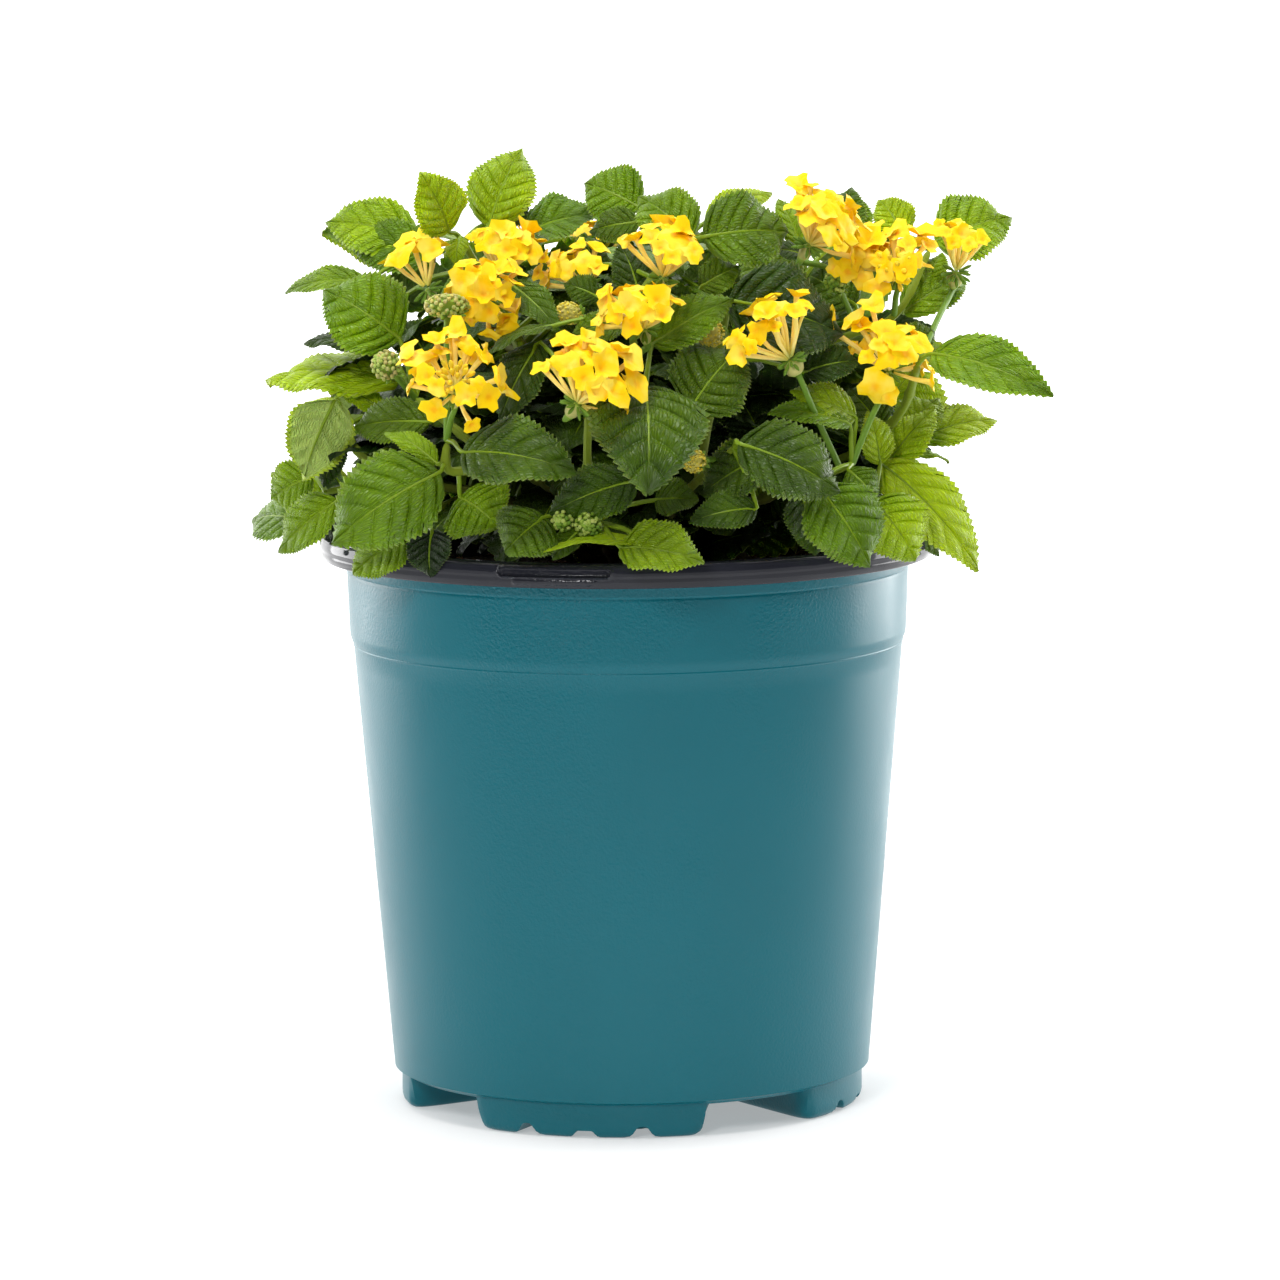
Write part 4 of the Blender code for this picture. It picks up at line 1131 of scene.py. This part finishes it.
def soil_finish():
    """Potting mix: dark crumbs with paler brown bark chips."""
    made = Finish("potting mix", Roughness=0.95, Specular_IOR_Level=0.2)
    crumbs = made.noise(made.place(), 420.0, 6.0)
    base = made.ramp(crumbs, [(0.35, (0.010, 0.006, 0.004)), (0.7, (0.060, 0.034, 0.018))])
    bark = made.ramp(made.mark("chip"), [(0.0, (0.05, 0.025, 0.012)), (1.0, (0.22, 0.11, 0.05))])
    made.into("Base Color", made.mix(made.map(made.mark("chip"), 0.02, 0.08), base, bark))
    made.bump(crumbs, 1.0, 0.0012)
    return made.material


def stem_finish():
    """Stems: green where young, brown and ridged with age, with fine hairs."""
    made = Finish("stem", Roughness=0.6, Sheen_Weight=0.06, Specular_IOR_Level=0.2)
    place = made.place()
    streak = made.noise(place, 160.0, 4.0)
    age = made.math("ADD", made.mark("age"), made.times(streak, 0.35))
    made.into("Base Color", made.ramp(age, [
        (0.0, (0.20, 0.29, 0.010)), (0.45, (0.18, 0.25, 0.012)), (0.8, (0.16, 0.13, 0.04)),
        (1.0, (0.12, 0.075, 0.04))]))
    made.bump(made.noise(place, 900.0, 3.0), 0.6, 0.0004)
    return made.material


def leaf_finish():
    """Leaves: paler veins between quilted cells, painted shade in the grooves by the veins and round the
    cells' edges, a pale underside, and a tone, partly painted light and shade, and a hue for each leaf.
    """
    made = Finish("leaf", Specular_IOR_Level=0.28, Subsurface_Weight=0.12, Subsurface_Scale=0.0008,
                  Subsurface_Radius=(0.6, 1.0, 0.1))
    place = made.place()
    row, side, _ = made.add("SeparateXYZ", made.add("UVMap", uv_map="VeinMap").outputs[0]).outputs
    turn = made.math("FRACT", made.math("ADD", made.times(row, float(VEINS)), 0.5))
    off_vein = made.apart(turn, 0.5)
    off_rib = made.apart(side, 0.5)
    vein = made.map(off_vein, 0.01, 0.035, 1.0, 0.0)
    rib = made.map(off_rib, 0.003, 0.016, 1.0, 0.0)
    groove = made.map(off_vein, 0.02, 0.11, 0.36, 0.0)
    lines = made.math("MAXIMUM", made.times(vein, 0.5), rib)
    cells = made.add("CombineXYZ", made.times(row, VEINS * 1.6), made.times(side, 30.0)).outputs[0]
    ladder = made.add("TexVoronoi", cells, None, 1.0, feature="DISTANCE_TO_EDGE")
    rung = made.map(ladder.outputs[0], 0.0, 0.25)
    cloud = made.map(made.noise(place, 60.0, 3.0), 0.3, 0.7, -0.09, 0.09)
    tone = made.math("ADD", made.mark("tone"), cloud)
    green = made.ramp(tone, [
        (0.0, (0.008, 0.022, 0.001)), (0.3, (0.046, 0.094, 0.001)), (0.6, (0.145, 0.262, 0.001)),
        (0.85, (0.300, 0.470, 0.001)), (1.0, (0.450, 0.630, 0.002))])
    hued = made.add("HueSaturation", made.map(made.mark("hue"), 0, 1, 0.515, 0.485), 1.0, 1.0, 1.0, green)
    light = made.add("HueSaturation", 0.5, 1.0, made.map(lines, 0, 1, 1.0, 1.45), 1.0, hued.outputs[0])
    upper = made.mix(made.times(rib, 0.22), light.outputs[0], (0.34, 0.44, 0.08))
    # Painted shade: darker in the grooves beside the side veins and round the quilted cells' edges, but not
    # on the veins.
    dim = made.math("MAXIMUM", made.map(rung, 0, 1, 0.24, 0.0), groove)
    dim = made.times(dim, made.math("SUBTRACT", 1.0, lines))
    upper = made.mix(dim, upper, (0.008, 0.036, 0.003))
    upper = made.mix(made.map(off_rib, 0.480, 0.498, 0.0, 0.30), upper, (0.30, 0.42, 0.10))
    lower = made.ramp(tone, [(0.0, (0.030, 0.055, 0.012)), (0.3, (0.080, 0.135, 0.030)),
                             (0.6, (0.220, 0.320, 0.070)), (1.0, (0.420, 0.560, 0.130))])
    lower = made.mix(made.times(lines, 0.4), lower, (0.42, 0.55, 0.26))
    blade = made.mix(made.mark("under"), upper, lower)
    made.into("Base Color", made.mix(made.mark("stalk"), blade, (0.20, 0.31, 0.012)))
    made.into("Roughness", made.map(made.mark("under"), 0, 1, 0.40, 0.7))
    relief = made.math("SUBTRACT", rung, made.times(groove, 2.2))
    relief = made.math("ADD", relief, made.times(made.noise(place, 900.0), 0.2))
    made.bump(relief, 0.75, 0.0006)
    return made.material


def bloom_finish():
    """Flowers: pale orange tubes, golden limbs with an orange throat and cream patches that are partly
    painted highlight, and green stalks and buds.
    """
    made = Finish("bloom", Roughness=0.50, Specular_IOR_Level=0.16, Subsurface_Weight=0.12,
                  Subsurface_Scale=0.0008, Subsurface_Radius=(1.0, 0.6, 0.1))
    place = made.place()
    along, ripe = made.mark("along"), made.mark("ripe")
    petal = made.ramp(along, [
        (0.0, (0.50, 0.56, 0.12)), (0.12, (0.93, 0.76, 0.24)), (0.42, (1.0, 0.76, 0.17)),
        (0.55, (0.98, 0.48, 0.003)), (0.68, (1.0, 0.64, 0.002)), (1.0, (1.0, 0.70, 0.003))])
    petal = made.mix(made.times(ripe, 0.3), petal, (1.0, 0.58, 0.001))
    # Paler cream patches over the flowers, partly painted highlight.
    fade = made.times(made.map(made.noise(place, 110.0), 0.50, 0.66), 0.55)
    petal = made.mix(fade, petal, (1.0, 0.82, 0.13))
    green = made.ramp(ripe, [
        (0.0, (0.15, 0.28, 0.03)), (0.12, (0.28, 0.42, 0.05)), (0.28, (0.50, 0.58, 0.15)),
        (0.40, (0.54, 0.46, 0.18)), (0.55, (0.70, 0.62, 0.12)), (0.8, (0.98, 0.72, 0.04))])
    green = made.mix(made.map(made.noise(place, 240.0), 0.35, 0.65, 0.0, 0.30), green, (0.10, 0.19, 0.02))
    made.into("Base Color", made.mix(made.mark("petal"), green, petal))
    made.bump(made.noise(place, 650.0), 0.5, 0.0004)
    return made.material


def floor_finish():
    """A plain white floor with a trace of unevenness, that glows a little as a lit table does."""
    made = Finish("studio floor", Roughness=0.9, Specular_IOR_Level=0.1, Emission_Strength=0.36,
                  Emission_Color=(1.0, 1.0, 1.0))
    made.into("Base Color", made.mix(made.noise(made.place(), 0.6), (0.62, 0.62, 0.62), (0.66, 0.66, 0.66)))
    return made.material


def add_world():
    """A white world: bright at the sides and back, dim in front, floor-bright below, white to the camera."""
    world = bpy.data.worlds.new("studio")
    world.use_nodes = True
    made = Nodes(world.node_tree)
    sky = made.tree.nodes["Background"]
    made.join((1.0, 1.0, 1.0), sky.inputs[0])
    _, y, z = made.add("SeparateXYZ", made.add("TexCoord").outputs["Generated"]).outputs
    glow = made.math("MAXIMUM", made.map(y, *WORLD_FADE), made.map(z, *WORLD_LOW))
    seen = made.add("LightPath").outputs["Is Camera Ray"]
    made.join(made.math("MAXIMUM", glow, seen), sky.inputs[1])
    bpy.context.scene.world = world


def add_stage():
    """The floor, the soft lights, the white world and the camera at the photograph's place.

    The floor is a disc that the white world carries on from.
    """
    ground = bpy.data.meshes.new("floor")
    rim = [(*(bearing_way(turn)[:2] * FLOOR_RADIUS), 0.0) for turn in round_turns(96) + math.pi / 2]
    ground.from_pydata(rim, [], [list(range(len(rim)))])
    ground.materials.append(floor_finish())
    placed("floor", ground)
    add_world()
    for name, spot, target, size, power in LAMPS:
        lamp = bpy.data.lights.new(name, "AREA")
        lamp.shape, lamp.size, lamp.energy = "SQUARE", size, power
        holder = placed(name, lamp)
        holder.location = spot
        way = Vector((0, 0, target)) - Vector(spot)
        holder.rotation_euler = way.to_track_quat("-Z", "Y").to_euler()
    lens = bpy.data.cameras.new("camera")
    lens.sensor_width = SENSOR
    lens.lens = EYE_FOCUS / PICTURE * SENSOR
    lens.clip_end = 200.0
    camera = placed("camera", lens)
    camera.rotation_mode = "ZXY"
    camera.location = EYE
    camera.rotation_euler = (math.pi / 2 - EYE_PITCH, 0.0, -EYE_ROLL)
    bpy.context.scene.camera = camera
    bpy.context.scene.view_settings.view_transform = "Standard"


def solid(name):
    """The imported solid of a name, if there is one."""
    return [name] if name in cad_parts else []


def main():
    """Builds every piece of the plant and its pot."""
    rng = np.random.default_rng(20)
    add_stage()
    add_piece("pot_shell", pot_skins(), pot_finish(), ["pot"], crease=40)
    add_piece("potting_soil", soil_skins(rng), soil_finish(), ["soil"])
    bark = stem_finish()
    add_piece("woody_crown", crown_skins(), bark, ["crown"])
    front, back = {}, {}
    for name, branch in BRANCHES.items():
        front[name] = branch_routes(*branch)
        skins = [stem_skin(route, thick * STEM_THINNER, 0.40 if number else 0.75)
                 for number, (route, thick) in enumerate(front[name])]
        add_piece(name.replace("branch", "stem"), skins, bark, [name])
        if name in BACK_TURNS:
            back[name] = [(turned_about_axis(route, BACK_TURNS[name]), thick) for route, thick in front[name]]
    skins = [stem_skin(*route, 0.5) for routes in back.values() for route in routes]
    add_piece("stems_back", skins, bark)
    tips = [route for routes in [*back.values(), front["branch_back"]] for route, _ in routes]
    # Stalks leave the solids' branches and one of the back's copies
    held = [route for routes in [*front.values(), back["branch_upper_right"]] for route, _ in routes]
    stems = np.concatenate([route[:-1] for route in held]), np.concatenate([route[1:] for route in held])
    green = leaf_finish()

    def add_leaves(name, blades, detail, stands_for=()):
        """Makes one piece of some blades and their stalks."""
        skins = [skin for blade in blades for skin in leaf_skins(blade, stems, rng, detail)]
        add_piece(name, skins, green, stands_for)

    for side, leaves in LEAVES.items():
        for number, leaf in leaves.items():
            name = f"{side}_{number:02d}"
            add_leaves("blade_" + name, [leaf_blade(leaf)], FINE, ["leaf_" + name])
    for name, leaves in MORE_LEAVES.items():
        add_leaves("blades_" + name, map(leaf_blade, leaves), PLAIN)
    for name, (side, turn) in BACK_COPIES.items():
        leaves = [*LEAVES[side].values(), *MORE_LEAVES[side + "_low"], *MORE_LEAVES[side + "_high"]]
        blades = [leaf_blade(leaf, turn + rng.normal(0, 4)) for leaf in leaves]
        add_leaves("blades_back_" + name, filter(hidden, blades), COARSE)
    inner = [blade for row in INNER_LEAVES for blade in filter(hidden, inner_blades(*row, rng))]
    for number in range(INNER_PIECES):
        add_leaves(f"blades_inner_{number + 1}", inner[number::INNER_PIECES], INNER)
    golden = bloom_finish()
    for name, head in HEADS.items():
        add_piece(name.replace("head", "bloom"), head_skins(head, stems, rng), golden, solid(name))
    for name, cone in CONES.items():
        add_piece(name.replace("bud", "cone"), cone_skins(cone, stems, rng), golden, solid(name))
    young = [blade for route in tips for blade in tip_blades(route[-1], unit(route[-1] - route[-3]), rng)]
    add_leaves("blades_back_tips", filter(hidden, young), INNER)
    # The top's blades are inner blades with less painted shade: 0.35 lighter in tone.
    high = [blade._replace(tone=blade.tone + 0.35) for blade in inner_blades(*HIGH_LEAVES, rng)]
    add_leaves("blades_top_middle", filter(hidden, high), INNER)


main()
